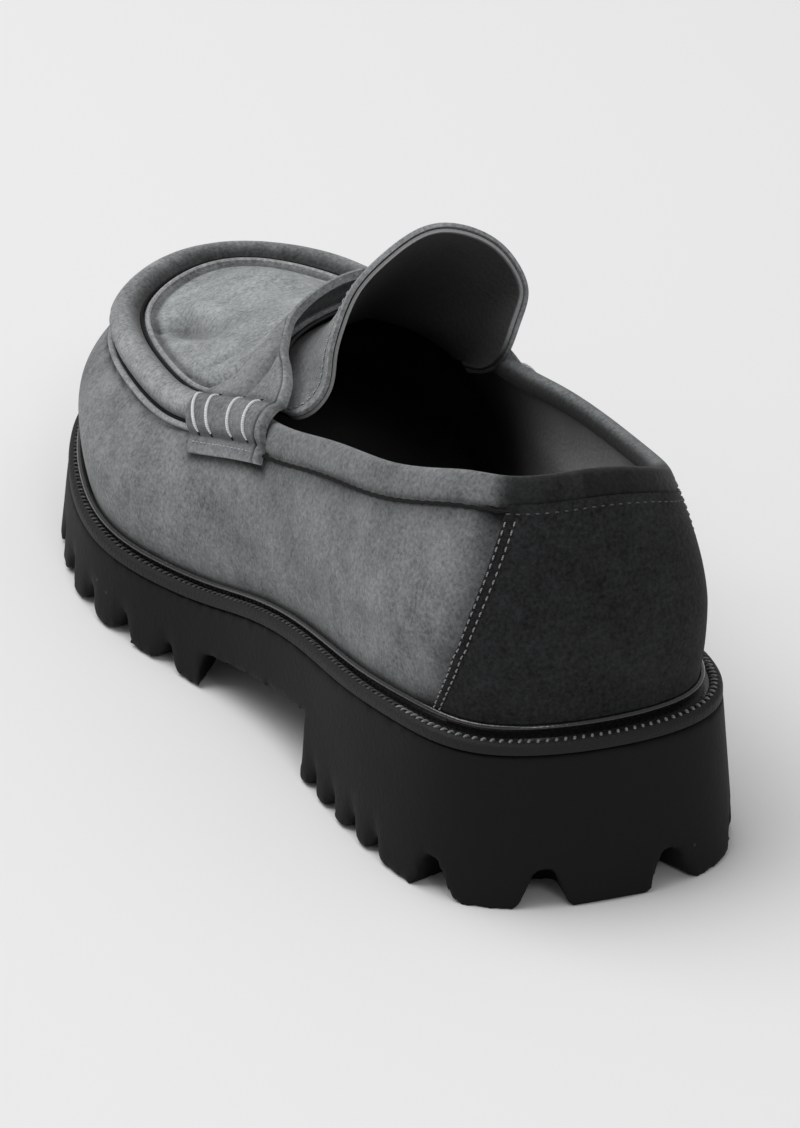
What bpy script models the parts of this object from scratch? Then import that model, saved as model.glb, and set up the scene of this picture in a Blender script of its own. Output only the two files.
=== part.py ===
import math

import bmesh
import bpy
import numpy as np

# A left suede loafer on a thick lugged sole. +X points to the toe, +Y to the outer side, +Z up.
# Sizes are in millimetres along the shoe, from the heel end of the last; place() turns them into metres.
MM = 0.001
GAP = 0.3                   # clearance between pieces that touch

# Driving sizes of the upper and what lies on it
WALL = 2.2                  # suede and lining
THROAT = 5                  # station where the collar ends and the vamp begins
ROLL_WIDTH = 8.0            # padded seam round the apron
ROLL_HEIGHT = 4.5
ROLL_START = 5.78           # station where the roll comes out from the strap
ROLL_ROUNDING = 0.8         # under 1 makes the roll's section fuller than half round
STRAP_THICKNESS = 1.8
STRAP_REAR_LIFT = 4.5       # the strap's rear edge stands off the tongue on the ridge
STRAP_HUMP = 3.3            # each tab rides over the roll
HUMP_ANGLE = 0.37
HUMP_HALF = 0.075
TONGUE_THICKNESS = 2.5
TONGUE_ROOT_SIDE = 5.4      # stations of the tongue's root at its sides and in the middle
TONGUE_ROOT_MIDDLE = 6.0
TONGUE_OUTER_ROOT = 0.46    # angles on the last at the ends of the root
TONGUE_INNER_ROOT = 0.55
TONGUE_CURL = 1.25          # power by which the tongue turns up towards its edge
TONGUE_FLARE = 1.2          # its inner side spreads only past the strap

# Driving sizes of the sole
INSOLE_THICKNESS = 3.2
INSOLE_CLEARANCE = 0.6
TOE_SPRING = 3.0            # rise of the tread at the toe
SPRING_START = 240.0
TOE_END = 300.0
HEEL_BREAST = 86.0
ARCH_AT_BREAST = 18.5       # height under the arch
ARCH_FALL = 0.15            # how fast that height drops towards the toe
FOREPART_DRAFT = 3.0
NOTCH_REACH = 13.0          # how far a notch runs in under the sole
NOTCH_OVERRUN = 6.0

# How finely the faces are cut
COLUMNS_PER_STATION = 4
WALL_ROWS = 10              # from the sole to the collar
VAMP_ROWS = 7               # from the collar's height to the ridge
ROLL_FACETS = 6
STRAP_ROWS = 22             # from a tab's foot to the ridge
STRAP_COLUMNS = 6
TONGUE_ROWS = 8
TONGUE_COLUMNS = 32


def table(columns, *rows):
    return dict(zip(columns.split(), np.array(rows, float).T))


# A row for each station, from the heel back to the toe tip. Outer and inner give the feather line, where the
# upper meets the sole. The ridge is the top line of the last. Belly and bulge are the height and depth of the
# fullest part of the side, and fullness shapes the curve from there to the ridge. Welt is the width of the
# ledge, and flare is how far the tread stands out past it.
LAST = table(
    "outer_x outer_y inner_x inner_y ridge_x ridge_y ridge_z "
    "belly outer_bulge inner_bulge fullness welt flare",
    (7,    0.0,   7.0,   0.0,  58, -1.5, 130.0, 25, 2.5, 2.5, 1.65, 8.0, 3.2),
    (11,  21.5,  11.0, -21.5,  60, -1.5, 129.0, 25, 2.8, 2.8, 1.65, 8.0, 3.2),
    (27,  33.5,  26.5, -33.0,  66, -2.5, 126.0, 24, 3.2, 3.4, 1.65, 7.5, 3.2),
    (62,  38.5,  60.0, -36.0,  84, -4.5, 119.5, 23, 3.6, 4.5, 1.70, 6.5, 3.0),
    (102, 39.8, 102.0, -33.3, 117, -7.0, 109.0, 22, 3.8, 5.5, 1.80, 5.9, 2.7),
    (146, 46.0, 148.0, -33.0, 160, -8.5,  95.5, 21, 3.2, 5.0, 1.85, 5.8, 2.5),
    (186, 55.6, 190.0, -44.5, 190, -8.5,  81.3, 20, 3.4, 3.3, 1.52, 5.8, 2.5),
    (221, 54.0, 226.0, -48.5, 213, -8.0,  72.3, 18, 3.0, 2.6, 1.58, 5.8, 2.5),
    (253, 43.8, 258.0, -44.4, 229, -7.5,  66.6, 15.5, 3.2, 2.0, 1.70, 5.8, 2.5),
    (278, 26.8, 281.5, -31.0, 238, -7.0,  64.8, 14.5, 4.2, 2.0, 1.88, 5.9, 2.5),
    (293, -3.0, 293.0,  -3.0, 242, -7.0,  65.0, 15.5, 3.0, 3.0, 2.02, 6.0, 2.5),
)
# The collar's height above the floor
COLLAR = table(
    "station outer_top inner_top",
    (0, 105.0, 105.0),
    (1, 104.5, 102.5),
    (2, 102.2,  96.5),
    (3,  93.0,  90.5),
    (4,  83.7,  87.5),
    (5,  75.2,  82.0),
)
# Height of the outsole's top along the shoe
SEAT = table(
    "along height",
    (-10, 40.0),
    (0,   40.0),
    (30,  39.4),
    (62,  36.0),
    (80,  34.2),
    (102, 31.7),
    (125, 27.6),
    (146, 23.0),
    (170, 20.4),
    (210, 19.8),
    (250, 20.8),
    (300, 23.0),
    (310, 23.5),
)
# Plan of the open arch, which leaves a pointed lug at each side of the forepart
ARCH = table(
    "along across",
    (HEEL_BREAST, 80),
    (108.3,       80),
    (171.0,       34),
    (181.0,      -24),
    (105.6,      -80),
    (HEEL_BREAST, -80),
)
# Angle up the last at which the roll runs
ROLL = table(
    "station angle",
    (5,  0.376),
    (6,  0.405),
    (7,  0.421),
    (8,  0.403),
    (9,  0.381),
    (10, 0.353),
)
# Rear and front edges of the strap, from the foot of its tab up to the ridge
STRAP = table(
    "angle rear front",
    (0.25, 4.60, 5.40),
    (0.34, 4.62, 5.50),
    (0.43, 4.65, 5.66),
    (0.51, 4.75, 5.80),
    (0.60, 5.04, 5.93),
    (0.70, 5.38, 6.05),
    (0.82, 5.62, 6.17),
    (1.00, 5.68, 6.25),
)
# Edge of the throat under the strap
THROAT_EDGE = table(
    "angle station",
    (0.40, 5.00),
    (0.52, 5.00),
    (0.62, 5.28),
    (0.72, 5.62),
    (0.85, 5.82),
    (1.00, 5.86),
)
# The tongue's free edge, from its outer end under the strap, over the top, to its inner end
TONGUE_EDGE = table(
    "side x y z",
    (-1.00, 147.0, -22.0,  78.0),
    (-0.92, 137.0, -23.5,  81.0),
    (-0.82, 132.5, -27.0,  86.0),
    (-0.70, 133.5, -30.7,  92.2),
    (-0.58, 135.4, -33.6,  99.5),
    (-0.44, 137.4, -30.7, 107.6),
    (-0.28, 139.5, -23.5, 116.2),
    (-0.12, 140.7, -13.0, 121.0),
    (0.04,  140.5,  -3.8, 120.0),
    (0.18,  139.3,   5.3, 115.3),
    (0.32,  137.5,  14.1, 108.2),
    (0.44,  135.5,  19.0, 100.0),
    (0.56,  133.5,  22.0,  92.0),
    (0.66,  131.8,  23.8,  85.0),
    (0.74,  131.0,  27.5,  81.0),
    (0.86,  136.5,  31.0,  77.0),
    (1.00,  147.0,  31.5,  73.5),
)
# The welt's section: distance out from the upper or in from the welt's edge, and height above the seat
WELT_INSIDE = table(
    "out height",
    (0.4, 0.3),
    (0.4, 5.4),
    (1.0, 5.9),
    (1.8, 5.0),
    (2.1, 2.9),
)
WELT_OUTSIDE = table(
    "inset height",
    (2.0, 2.6),
    (1.5, 3.1),
    (0.5, 2.9),
    (0.0, 2.1),
    (0.0, 0.3),
)
# Notches between the lugs: where each run starts, its step and count, and the notch's own size
NOTCHES = table(
    "start step count depth top foot",
    (0.62,   0.00, 1, 10.0, 4.5, 11.0),
    (19.38,  0.00, 1, 10.0, 4.5, 11.0),
    (1.72,   0.00, 1, 10.0, 4.0, 10.0),
    (18.28,  0.00, 1, 10.0, 4.0, 10.0),
    (2.44,   0.32, 4,  6.5, 1.6,  5.0),
    (17.56, -0.32, 4,  6.5, 1.6,  5.0),
    (5.36,   0.50, 9,  8.0, 1.6,  7.0),
    (14.43, -0.50, 9,  8.0, 1.6,  7.0),
)
LAST_STATION = len(LAST["outer_x"]) - 1
LOOP = 2 * LAST_STATION


# Smooth curves

def spline(keys, values, ends):
    """A smooth curve through values at rising keys, with level or free ends, or closed in a loop."""
    keys = np.asarray(keys, float)
    values = np.asarray(values, float).reshape(len(keys), -1)
    steps = np.diff(keys)
    rises = np.diff(values, axis=0) / steps[:, None]
    pull = 1 / steps
    matrix = np.zeros((len(keys), len(keys)))
    target = np.zeros_like(values)
    for i in range(1, len(keys) - 1):
        matrix[i, i - 1:i + 2] = pull[i - 1], 2 * (pull[i - 1] + pull[i]), pull[i]
        target[i] = 3 * (rises[i - 1] * pull[i - 1] + rises[i] * pull[i])
    if ends == "loop":
        matrix[0, 0] = 2 * (pull[0] + pull[-1])
        matrix[0, 1] = pull[0]
        matrix[0, -2] = pull[-1]
        target[0] = 3 * (rises[0] * pull[0] + rises[-1] * pull[-1])
        matrix[-1, 0] = 1
        matrix[-1, -1] = -1
    elif ends == "level":
        matrix[0, 0] = 1
        matrix[-1, -1] = 1
    else:
        matrix[0, :2] = 2, 1
        target[0] = 3 * rises[0]
        matrix[-1, -2:] = 1, 2
        target[-1] = 3 * rises[-1]
    slopes = np.linalg.solve(matrix, target)

    def at(key):
        i = int(np.clip(np.searchsorted(keys, key, side="right") - 1, 0, len(steps) - 1))
        step = steps[i]
        t = (key - keys[i]) / step
        start = (1 + 2 * t) * (1 - t) ** 2 * values[i] + t * (1 - t) ** 2 * step * slopes[i]
        return start + t * t * (3 - 2 * t) * values[i + 1] + t * t * (t - 1) * step * slopes[i + 1]

    return at


def feather_points():
    outer = np.stack([LAST["outer_x"], LAST["outer_y"]], axis=1)
    inner = np.stack([LAST["inner_x"], LAST["inner_y"]], axis=1)
    return np.vstack([outer, inner[-2::-1]])


STATIONS = np.arange(LAST_STATION + 1)
feather_curve = spline(np.arange(LOOP + 1), feather_points(), "loop")
shape_columns = "ridge_x ridge_y ridge_z belly outer_bulge inner_bulge fullness welt flare".split()
shape_curve = spline(STATIONS, np.stack([LAST[name] for name in shape_columns], axis=1), "level")
collar_tops = np.stack([COLLAR["outer_top"], COLLAR["inner_top"]], axis=1)
collar_curve = spline(COLLAR["station"], collar_tops, "level")
seat_curve = spline(SEAT["along"], SEAT["height"], "free")
roll_curve = spline(ROLL["station"], ROLL["angle"], "free")
strap_curve = spline(STRAP["angle"], np.stack([STRAP["rear"], STRAP["front"]], axis=1), "free")
throat_curve = spline(THROAT_EDGE["angle"], THROAT_EDGE["station"], "level")
tongue_edges = np.stack([TONGUE_EDGE[name] for name in "xyz"], axis=1)
tongue_curve = spline(TONGUE_EDGE["side"], tongue_edges, "free")


# The last: k runs round the shoe from the heel back along the outer side to the toe and back

def station(k):
    k = k % LOOP
    return min(k, LOOP - k)


def on_outer_side(k):
    return k % LOOP <= LAST_STATION


def feather(k):
    return feather_curve(k % LOOP)


def seat(x):
    return seat_curve(x)[0]


def shape(k):
    return dict(zip(shape_columns, shape_curve(station(k))))


def outward(k):
    reach = 0.01
    along = feather(k + reach) - feather(k - reach)
    along /= np.linalg.norm(along)
    return np.array([-along[1], along[0]])


def bulge(k):
    return shape(k)["outer_bulge" if on_outer_side(k) else "inner_bulge"]


def rib(k, angle):
    """Point on the last at angle -1 on the sole, 0 at the belly and 1 on the ridge."""
    foot = feather(k)
    form = shape(k)
    side = bulge(k)
    to_ridge = np.array([form["ridge_x"], form["ridge_y"]]) - foot
    width = np.linalg.norm(to_ridge)
    floor = seat(foot[0])
    if angle < 0:
        inset = side * angle ** 2 - side
        height = form["belly"] * (1 + angle)
    else:
        turn = angle * math.pi / 2
        power = 2 / form["fullness"]
        inset = (width + side) * (1 - max(math.cos(turn), 0) ** power) - side
        height = form["belly"] + (form["ridge_z"] - floor - form["belly"]) * math.sin(turn) ** power
    plan = foot + to_ridge / width * inset
    return np.array([plan[0], plan[1], floor + height])


def skin(k, angle, lift):
    """Point a set distance off the last's surface."""
    step = 0.01
    inside = min(max(angle, step - 1), 1 - step)
    up = rib(k, inside + step) - rib(k, inside - step)
    along = rib(k + step, inside) - rib(k - step, inside)
    normal = np.cross(up, along)
    return rib(k, angle) + normal / np.linalg.norm(normal) * lift


def collar_angle(k):
    """Angle on the last at the collar's height, held level past the throat."""
    k_side = THROAT if on_outer_side(k) else LOOP - THROAT
    if station(k) < THROAT:
        k_side = k
    top = collar_curve(station(k_side))[0 if on_outer_side(k) else 1]
    form = shape(k_side)
    base = seat(feather(k_side)[0]) + form["belly"]
    share = (top - base) / (form["ridge_z"] - base)
    return math.asin(share ** (form["fullness"] / 2)) * 2 / math.pi


def overhang(k, height):
    """How far the upper stands out past the feather line at a height above the seat."""
    return bulge(k) * (1 - (height / shape(k)["belly"] - 1) ** 2)


def welt_edge(k):
    return feather(k) + outward(k) * shape(k)["welt"]


def tread_edge(k):
    return welt_edge(k) + outward(k) * shape(k)["flare"]


def tread(x):
    """Height of the tread's underside."""
    past = max(x - SPRING_START, 0) / (TOE_END - SPRING_START)
    return TOE_SPRING * past ** 2


# Placing: the middle of the sole's box is the origin

columns_round = [i / COLUMNS_PER_STATION for i in range(LOOP * COLUMNS_PER_STATION)]
tread_outline = np.array([tread_edge(k) for k in columns_round])
middle = (tread_outline.min(axis=0) + tread_outline.max(axis=0)) / 2


def place(point):
    return ((point[0] - middle[0]) * MM, (point[1] - middle[1]) * MM, point[2] * MM)


# Building tools

for old in list(bpy.data.objects):
    bpy.data.objects.remove(old, do_unlink=True)

parts = bpy.data.collections.new("suede_loafer")
cutters = bpy.data.collections.new("cutters")
bpy.context.scene.collection.children.link(parts)
bpy.context.scene.collection.children.link(cutters)
shoe = bpy.data.objects.new("loafer_left", None)
parts.objects.link(shoe)


def finish(name, colour, roughness):
    material = bpy.data.materials.new(name)
    material.use_nodes = True
    shader = material.node_tree.nodes["Principled BSDF"]
    shader.inputs["Base Color"].default_value = (*colour, 1)
    shader.inputs["Roughness"].default_value = roughness
    material.diffuse_color = (*colour, 1)
    return material


def add_object(name, mesh_data, material):
    mesh = bpy.data.meshes.new(name)
    bmesh.ops.recalc_face_normals(mesh_data, faces=mesh_data.faces)
    mesh_data.to_mesh(mesh)
    mesh_data.free()
    mesh.materials.append(material)
    mesh.shade_smooth()
    mesh.set_sharp_from_angle(angle=math.radians(40))
    piece = bpy.data.objects.new(name, mesh)
    piece.parent = shoe
    parts.objects.link(piece)
    return piece


def sheet(name, rows, material, thickness, even=True):
    """An open sheet through rows of points, thickened to one side."""
    mesh_data = bmesh.new()
    lines = [[mesh_data.verts.new(place(point)) for point in row] for row in rows]
    for first, second in zip(lines, lines[1:]):
        for i in range(len(first) - 1):
            mesh_data.faces.new((first[i], first[i + 1], second[i + 1], second[i]))
    piece = add_object(name, mesh_data, material)
    thicken(piece, thickness, even)
    return piece


def thicken(piece, thickness, even=True):
    solid = piece.modifiers.new("thickness", "SOLIDIFY")
    solid.thickness = abs(thickness) * MM
    solid.offset = math.copysign(1, thickness)
    solid.use_even_offset = even


def sweep(name, sections, material, closed):
    """A solid through like sections, joined in a ring or capped at both ends."""
    mesh_data = bmesh.new()
    rings = [[mesh_data.verts.new(place(point)) for point in section] for section in sections]
    pairs = list(zip(rings, rings[1:]))
    if closed:
        pairs.append((rings[-1], rings[0]))
    else:
        mesh_data.faces.new(rings[0])
        mesh_data.faces.new(rings[-1])
    for first, second in pairs:
        for i in range(len(first)):
            j = (i + 1) % len(first)
            mesh_data.faces.new((first[i], first[j], second[j], second[i]))
    return add_object(name, mesh_data, material)


def slab(name, lower, upper, material):
    """A solid between two loops round the shoe, its faces in strips from side to side."""
    mesh_data = bmesh.new()
    loops = [[mesh_data.verts.new(place(point)) for point in loop] for loop in (lower, upper)]
    count = len(lower)
    for i in range(count):
        j = (i + 1) % count
        mesh_data.faces.new((loops[0][i], loops[0][j], loops[1][j], loops[1][i]))
    for loop in loops:
        for i in range(count // 2):
            strip = (loop[i], loop[i + 1], loop[count - i - 1], loop[-i])
            mesh_data.faces.new(list(dict.fromkeys(strip)))
    return add_object(name, mesh_data, material)


def cutter(name, points):
    """A block with the given corners, kept for cutting."""
    mesh_data = bmesh.new()
    for point in points:
        mesh_data.verts.new(place(point))
    bmesh.ops.convex_hull(mesh_data, input=mesh_data.verts)
    mesh = bpy.data.meshes.new(name)
    mesh_data.to_mesh(mesh)
    mesh_data.free()
    block = bpy.data.objects.new(name, mesh)
    block.hide_render = True
    block.display_type = "WIRE"
    cutters.objects.link(block)
    return block


def cut_all(piece):
    cut = piece.modifiers.new("cut", "BOOLEAN")
    cut.operation = "DIFFERENCE"
    cut.operand_type = "COLLECTION"
    cut.collection = cutters
    cut.solver = "EXACT"


# Finishes

rubber = finish("black_rubber", (0.012, 0.012, 0.013), 0.55)
welt_rubber = finish("welt_rubber", (0.016, 0.016, 0.017), 0.35)
vamp_suede = finish("vamp_suede", (0.22, 0.23, 0.235), 0.95)
roll_suede = finish("roll_suede", (0.13, 0.135, 0.14), 0.95)
strap_suede = finish("strap_suede", (0.24, 0.25, 0.255), 0.95)
tongue_leather = finish("tongue_leather", (0.06, 0.06, 0.062), 0.8)
sock = finish("black_sock", (0.01, 0.01, 0.011), 0.6)


# The pieces

def make_outsole():
    top = [(*welt_edge(k), seat(welt_edge(k)[0])) for k in columns_round]
    bottom = [(*edge, tread(edge[0])) for edge in tread_outline]
    outsole = slab("outsole", bottom, top, rubber)
    arch_cutter()
    for row in range(len(NOTCHES["start"])):
        notch = {name: column[row] for name, column in NOTCHES.items()}
        for i in range(int(notch["count"])):
            notch_cutter(notch["start"] + i * notch["step"], notch)
    cut_all(outsole)


def arch_cutter():
    below = -5.0
    corners = []
    for x, y in zip(ARCH["along"], ARCH["across"]):
        top_x = x - FOREPART_DRAFT if x > HEEL_BREAST else x
        corners.append((x, y, below))
        corners.append((top_x, y, ARCH_AT_BREAST - ARCH_FALL * (top_x - HEEL_BREAST)))
    cutter("arch", corners)


def notch_cutter(k, notch):
    edge = tread_edge(k)
    out = outward(k)
    along = np.array([-out[1], out[0]])
    below = 1.0
    foot_level = tread(edge[0]) - below
    corners = []
    for distance in (NOTCH_OVERRUN, -NOTCH_REACH):
        for half, level in ((notch["foot"] / 2, foot_level), (notch["top"] / 2, notch["depth"])):
            for sign in (-1, 1):
                plan = edge + out * distance + along * half * sign
                corners.append((plan[0], plan[1], level))
    cutter("notch", corners)


def make_welt():
    sections = []
    for k in columns_round:
        inner = [(overhang(k, height) + out, height)
                 for out, height in zip(WELT_INSIDE["out"], WELT_INSIDE["height"])]
        outer = [(shape(k)["welt"] - inset, height)
                 for inset, height in zip(WELT_OUTSIDE["inset"], WELT_OUTSIDE["height"])]
        section = []
        for distance, height in inner + outer:
            plan = feather(k) + outward(k) * distance
            section.append((plan[0], plan[1], seat(plan[0]) + height))
        sections.append(section)
    sweep("welt", sections, welt_rubber, closed=True)


def vamp_station(k, angle):
    """Columns of the vamp lean forward so that its edge follows the throat."""
    lean = throat_curve(max(angle, THROAT_EDGE["angle"][0]))[0] - THROAT
    return k + lean * (LAST_STATION - k) / (LAST_STATION - THROAT)


def make_upper():
    mesh_data = bmesh.new()
    lines = []
    for k in columns_round:
        collar = collar_angle(k)
        angles = list(np.linspace(-1, collar, WALL_ROWS + 1))
        if station(k) >= THROAT:
            angles += list(np.linspace(collar, 1, VAMP_ROWS + 1)[1:])
        points = [rib(vamp_station(k, angle) if angle > collar else k, angle) for angle in angles]
        points[0] = points[0] + np.array([0, 0, GAP])
        lines.append([mesh_data.verts.new(place(point)) for point in points])
    for first, second in zip(lines, lines[1:] + lines[:1]):
        for i in range(min(len(first), len(second)) - 1):
            mesh_data.faces.new((first[i], second[i], second[i + 1], first[i + 1]))
    bmesh.ops.remove_doubles(mesh_data, verts=mesh_data.verts, dist=0.01 * MM)
    upper = add_object("upper", mesh_data, vamp_suede)
    thicken(upper, -WALL)


def make_insole():
    margin = WALL + INSOLE_CLEARANCE
    edges = [feather(k) - outward(k) * margin for k in columns_round]
    lower = [(*edge, seat(edge[0]) + GAP) for edge in edges]
    upper = [(*edge, seat(edge[0]) + GAP + INSOLE_THICKNESS) for edge in edges]
    slab("insole", lower, upper, sock)


def make_moc_roll():
    sections = []
    count = int((LOOP - 2 * ROLL_START) * COLUMNS_PER_STATION)
    for k in np.linspace(ROLL_START, LOOP - ROLL_START, count):
        angle = roll_curve(station(k))[0]
        step = 0.01
        millimetres = np.linalg.norm(rib(k, angle + step) - rib(k, angle - step)) / (2 * step)
        half = ROLL_WIDTH / 2 / millimetres
        section = [skin(k, angle + half * side, GAP) for side in (1, 0, -1)]
        for i in range(1, ROLL_FACETS):
            turn = math.pi * i / ROLL_FACETS
            side = -math.cos(turn)
            height = ROLL_HEIGHT * math.sin(turn) ** ROLL_ROUNDING
            section.append(skin(k, angle + half * side, GAP + height))
        sections.append(section)
    sweep("moc_roll", sections, roll_suede, closed=False)


def make_saddle():
    climb = list(np.linspace(STRAP["angle"][0], 1, STRAP_ROWS + 1))
    rows = []
    for outer_side, angles in ((True, climb), (False, climb[-2::-1])):
        for angle in angles:
            rear, front = strap_curve(angle)
            row = []
            for across in np.linspace(0, 1, STRAP_COLUMNS + 1):
                k = rear + (front - rear) * across
                row.append(skin(k if outer_side else LOOP - k, angle, strap_lift(angle, across)))
            rows.append(row)
    sheet("saddle", rows, strap_suede, STRAP_THICKNESS)


def strap_lift(angle, across):
    """How far the strap's underside stands off the last."""
    climb = min(max((angle - 0.45) / 0.45, 0), 1)
    hump = max(1 - ((angle - HUMP_ANGLE) / HUMP_HALF) ** 2, 0)
    return GAP + STRAP_REAR_LIFT * climb * (1 - across) + STRAP_HUMP * hump


def tongue_point(side, share):
    """Point on the tongue's front: side from -1 at the inner end to 1, share from root to free edge."""
    end = TONGUE_OUTER_ROOT if side >= 0 else TONGUE_INNER_ROOT
    k = TONGUE_ROOT_MIDDLE + (TONGUE_ROOT_SIDE - TONGUE_ROOT_MIDDLE) * side ** 2
    root = skin(k if side >= 0 else LOOP - k, 1 - (1 - end) * abs(side), -(WALL + 3 * GAP))
    spread = 1 + TONGUE_FLARE * max(-side, 0)
    return root + (tongue_curve(side) - root) * np.array([share, share ** spread, share ** TONGUE_CURL])


def make_tongue():
    shares = np.linspace(0, 1, TONGUE_ROWS + 1)
    sides = np.linspace(-1, 1, TONGUE_COLUMNS + 1)
    rows = [[tongue_point(side, share) for side in sides] for share in shares]
    sheet("tongue", rows, tongue_leather, -TONGUE_THICKNESS, even=False)


make_outsole()
make_welt()
make_insole()
make_upper()
make_moc_roll()
make_saddle()
make_tongue()
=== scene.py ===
import math

import bmesh
import bpy
import numpy as np
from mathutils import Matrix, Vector


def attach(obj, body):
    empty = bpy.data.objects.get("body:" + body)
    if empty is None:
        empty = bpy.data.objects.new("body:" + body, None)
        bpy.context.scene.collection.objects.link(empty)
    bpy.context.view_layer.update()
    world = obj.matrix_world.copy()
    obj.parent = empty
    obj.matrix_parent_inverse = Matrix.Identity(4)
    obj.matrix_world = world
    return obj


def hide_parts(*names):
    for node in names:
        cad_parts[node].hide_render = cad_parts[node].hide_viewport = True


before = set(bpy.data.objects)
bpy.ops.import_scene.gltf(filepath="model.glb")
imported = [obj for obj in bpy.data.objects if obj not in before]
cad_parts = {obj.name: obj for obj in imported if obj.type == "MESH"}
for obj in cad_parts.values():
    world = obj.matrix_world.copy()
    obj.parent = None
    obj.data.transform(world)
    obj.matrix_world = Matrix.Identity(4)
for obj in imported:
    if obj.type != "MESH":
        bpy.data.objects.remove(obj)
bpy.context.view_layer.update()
print("frame loaded with", ", ".join(sorted(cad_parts)))

# Lengths are in mm along the shoe from the heel end; +X is the toe, +Y the outer side, +Z up
mm = 0.001
nudge = 0.01        # small step for slopes on the last
sharpAngle = 42     # degrees; sharper edges stay crisp

# The last, a row for each station from the heel back to the toe
last = {
    "columns": "outerX outerY innerX innerY ridgeX ridgeY ridgeZ belly outerBulge innerBulge "
               "fullness welt flare",
    "stations": (
        (7, 0, 7, 0, 58, -1.5, 130, 25, 2.5, 2.5, 1.65, 8.0, 3.2),
        (11, 21.5, 11, -21.5, 60, -1.5, 129, 25, 2.8, 2.8, 1.65, 8.0, 3.2),
        (27, 33.5, 26.5, -33, 66, -2.5, 126, 24, 3.2, 3.4, 1.65, 7.5, 3.2),
        (62, 38.5, 60, -36, 84, -4.5, 119.5, 23, 3.6, 4.5, 1.70, 6.5, 3.0),
        (102, 39.8, 102, -33.3, 117, -7, 109, 22, 3.8, 5.5, 1.80, 5.9, 2.7),
        (146, 46, 148, -33, 160, -8.5, 95.5, 21, 3.2, 5.0, 1.85, 5.8, 2.5),
        (186, 55.6, 190, -44.5, 190, -8.5, 81.3, 20, 3.4, 3.3, 1.52, 5.8, 2.5),
        (221, 54, 226, -48.5, 213, -8, 72.3, 18, 3.0, 2.6, 1.58, 5.8, 2.5),
        (253, 43.8, 258, -44.4, 229, -7.5, 66.6, 15.5, 3.2, 2.0, 1.70, 5.8, 2.5),
        (278, 26.8, 281.5, -31, 238, -7, 64.8, 14.5, 4.2, 2.0, 1.88, 5.9, 2.5),
        (293, -3, 293, -3, 242, -7, 65, 15.5, 3.0, 3.0, 2.02, 6.0, 2.5),
    ),
    # distance along the shoe, then the height of the sole's top
    "seat": ((-10, 40), (0, 40), (30, 39.4), (62, 36.0), (80, 34.2), (102, 31.7), (125, 27.6), (146, 23.0),
             (170, 20.4), (210, 19.8), (250, 20.8), (300, 23), (310, 23.5)),
    # station, then the collar's height on the outer and inner sides
    "collar": ((0, 105, 105), (1, 104.5, 102.5), (2, 102.2, 96.5), (3, 93, 90.5), (4, 83.7, 87.5),
               (5, 75.2, 82)),
    "throat": 5,        # station where the collar ends and the vamp begins
    # angle, then the station of the edge under the strap
    "throatEdge": ((0.40, 5.00), (0.52, 5.00), (0.62, 5.28), (0.72, 5.62), (0.85, 5.82), (1.00, 5.86)),
    "wall": 2.2,        # suede and lining together
    "gap": 0.3,
}


def smoothCurve(keys, values, ends):
    keys = np.asarray(keys, float)
    values = np.asarray(values, float).reshape(len(keys), -1)
    steps = np.diff(keys)
    rises = np.diff(values, axis=0) / steps[:, None]
    pull = 1 / steps
    matrix = np.zeros((len(keys), len(keys)))
    target = np.zeros_like(values)
    for i in range(1, len(keys) - 1):
        matrix[i, i - 1:i + 2] = pull[i - 1], 2 * (pull[i - 1] + pull[i]), pull[i]
        target[i] = 3 * (rises[i - 1] * pull[i - 1] + rises[i] * pull[i])
    if ends == "loop":
        matrix[0, 0] = 2 * (pull[0] + pull[-1])
        matrix[0, 1] = pull[0]
        matrix[0, -2] = pull[-1]
        target[0] = 3 * (rises[0] * pull[0] + rises[-1] * pull[-1])
        matrix[-1, 0] = 1
        matrix[-1, -1] = -1
    elif ends == "level":
        matrix[0, 0] = 1
        matrix[-1, -1] = 1
    else:
        matrix[0, :2] = 2, 1
        target[0] = 3 * rises[0]
        matrix[-1, -2:] = 1, 2
        target[-1] = 3 * rises[-1]
    slopes = np.linalg.solve(matrix, target)

    def at(key):
        key = np.asarray(key, float)
        i = np.clip(np.searchsorted(keys, key, side="right") - 1, 0, len(steps) - 1)
        step = steps[i][..., None]
        t = (key - keys[i])[..., None] / step
        start = (1 + 2 * t) * (1 - t) ** 2 * values[i] + t * (1 - t) ** 2 * step * slopes[i]
        return start + t * t * (3 - 2 * t) * values[i + 1] + t * t * (t - 1) * step * slopes[i + 1]

    return at


toe = len(last["stations"]) - 1     # k at the toe
lap = 2 * toe                       # k back at the heel
stationTable = dict(zip(last["columns"].split(), np.array(last["stations"], float).T))
outerLine = np.stack([stationTable["outerX"], stationTable["outerY"]], 1)
innerLine = np.stack([stationTable["innerX"], stationTable["innerY"]], 1)
featherCurve = smoothCurve(np.arange(lap + 1), np.vstack([outerLine, innerLine[-2::-1]]), "loop")
formNames = last["columns"].split()[4:]
formCurve = smoothCurve(np.arange(toe + 1), np.stack([stationTable[name] for name in formNames], 1), "level")
collarTable = np.array(last["collar"], float)
collarCurve = smoothCurve(collarTable[:, 0], collarTable[:, 1:], "level")
seatTable = np.array(last["seat"], float)
seatCurve = smoothCurve(seatTable[:, 0], seatTable[:, 1], "free")
throatTable = np.array(last["throatEdge"], float)
throatCurve = smoothCurve(throatTable[:, 0], throatTable[:, 1], "level")


# k runs round the shoe: 0 at the heel back, 10 at the toe by the outer side, back to 20 by the inner side
def station(k):
    k = np.mod(k, lap)
    return np.minimum(k, lap - k)


def onOuterSide(k):
    return np.mod(k, lap) <= toe


def feather(k):
    return featherCurve(np.mod(k, lap))


def spine(k):       # middle line of the sole
    return (feather(k) + feather(lap - k)) / 2


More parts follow.
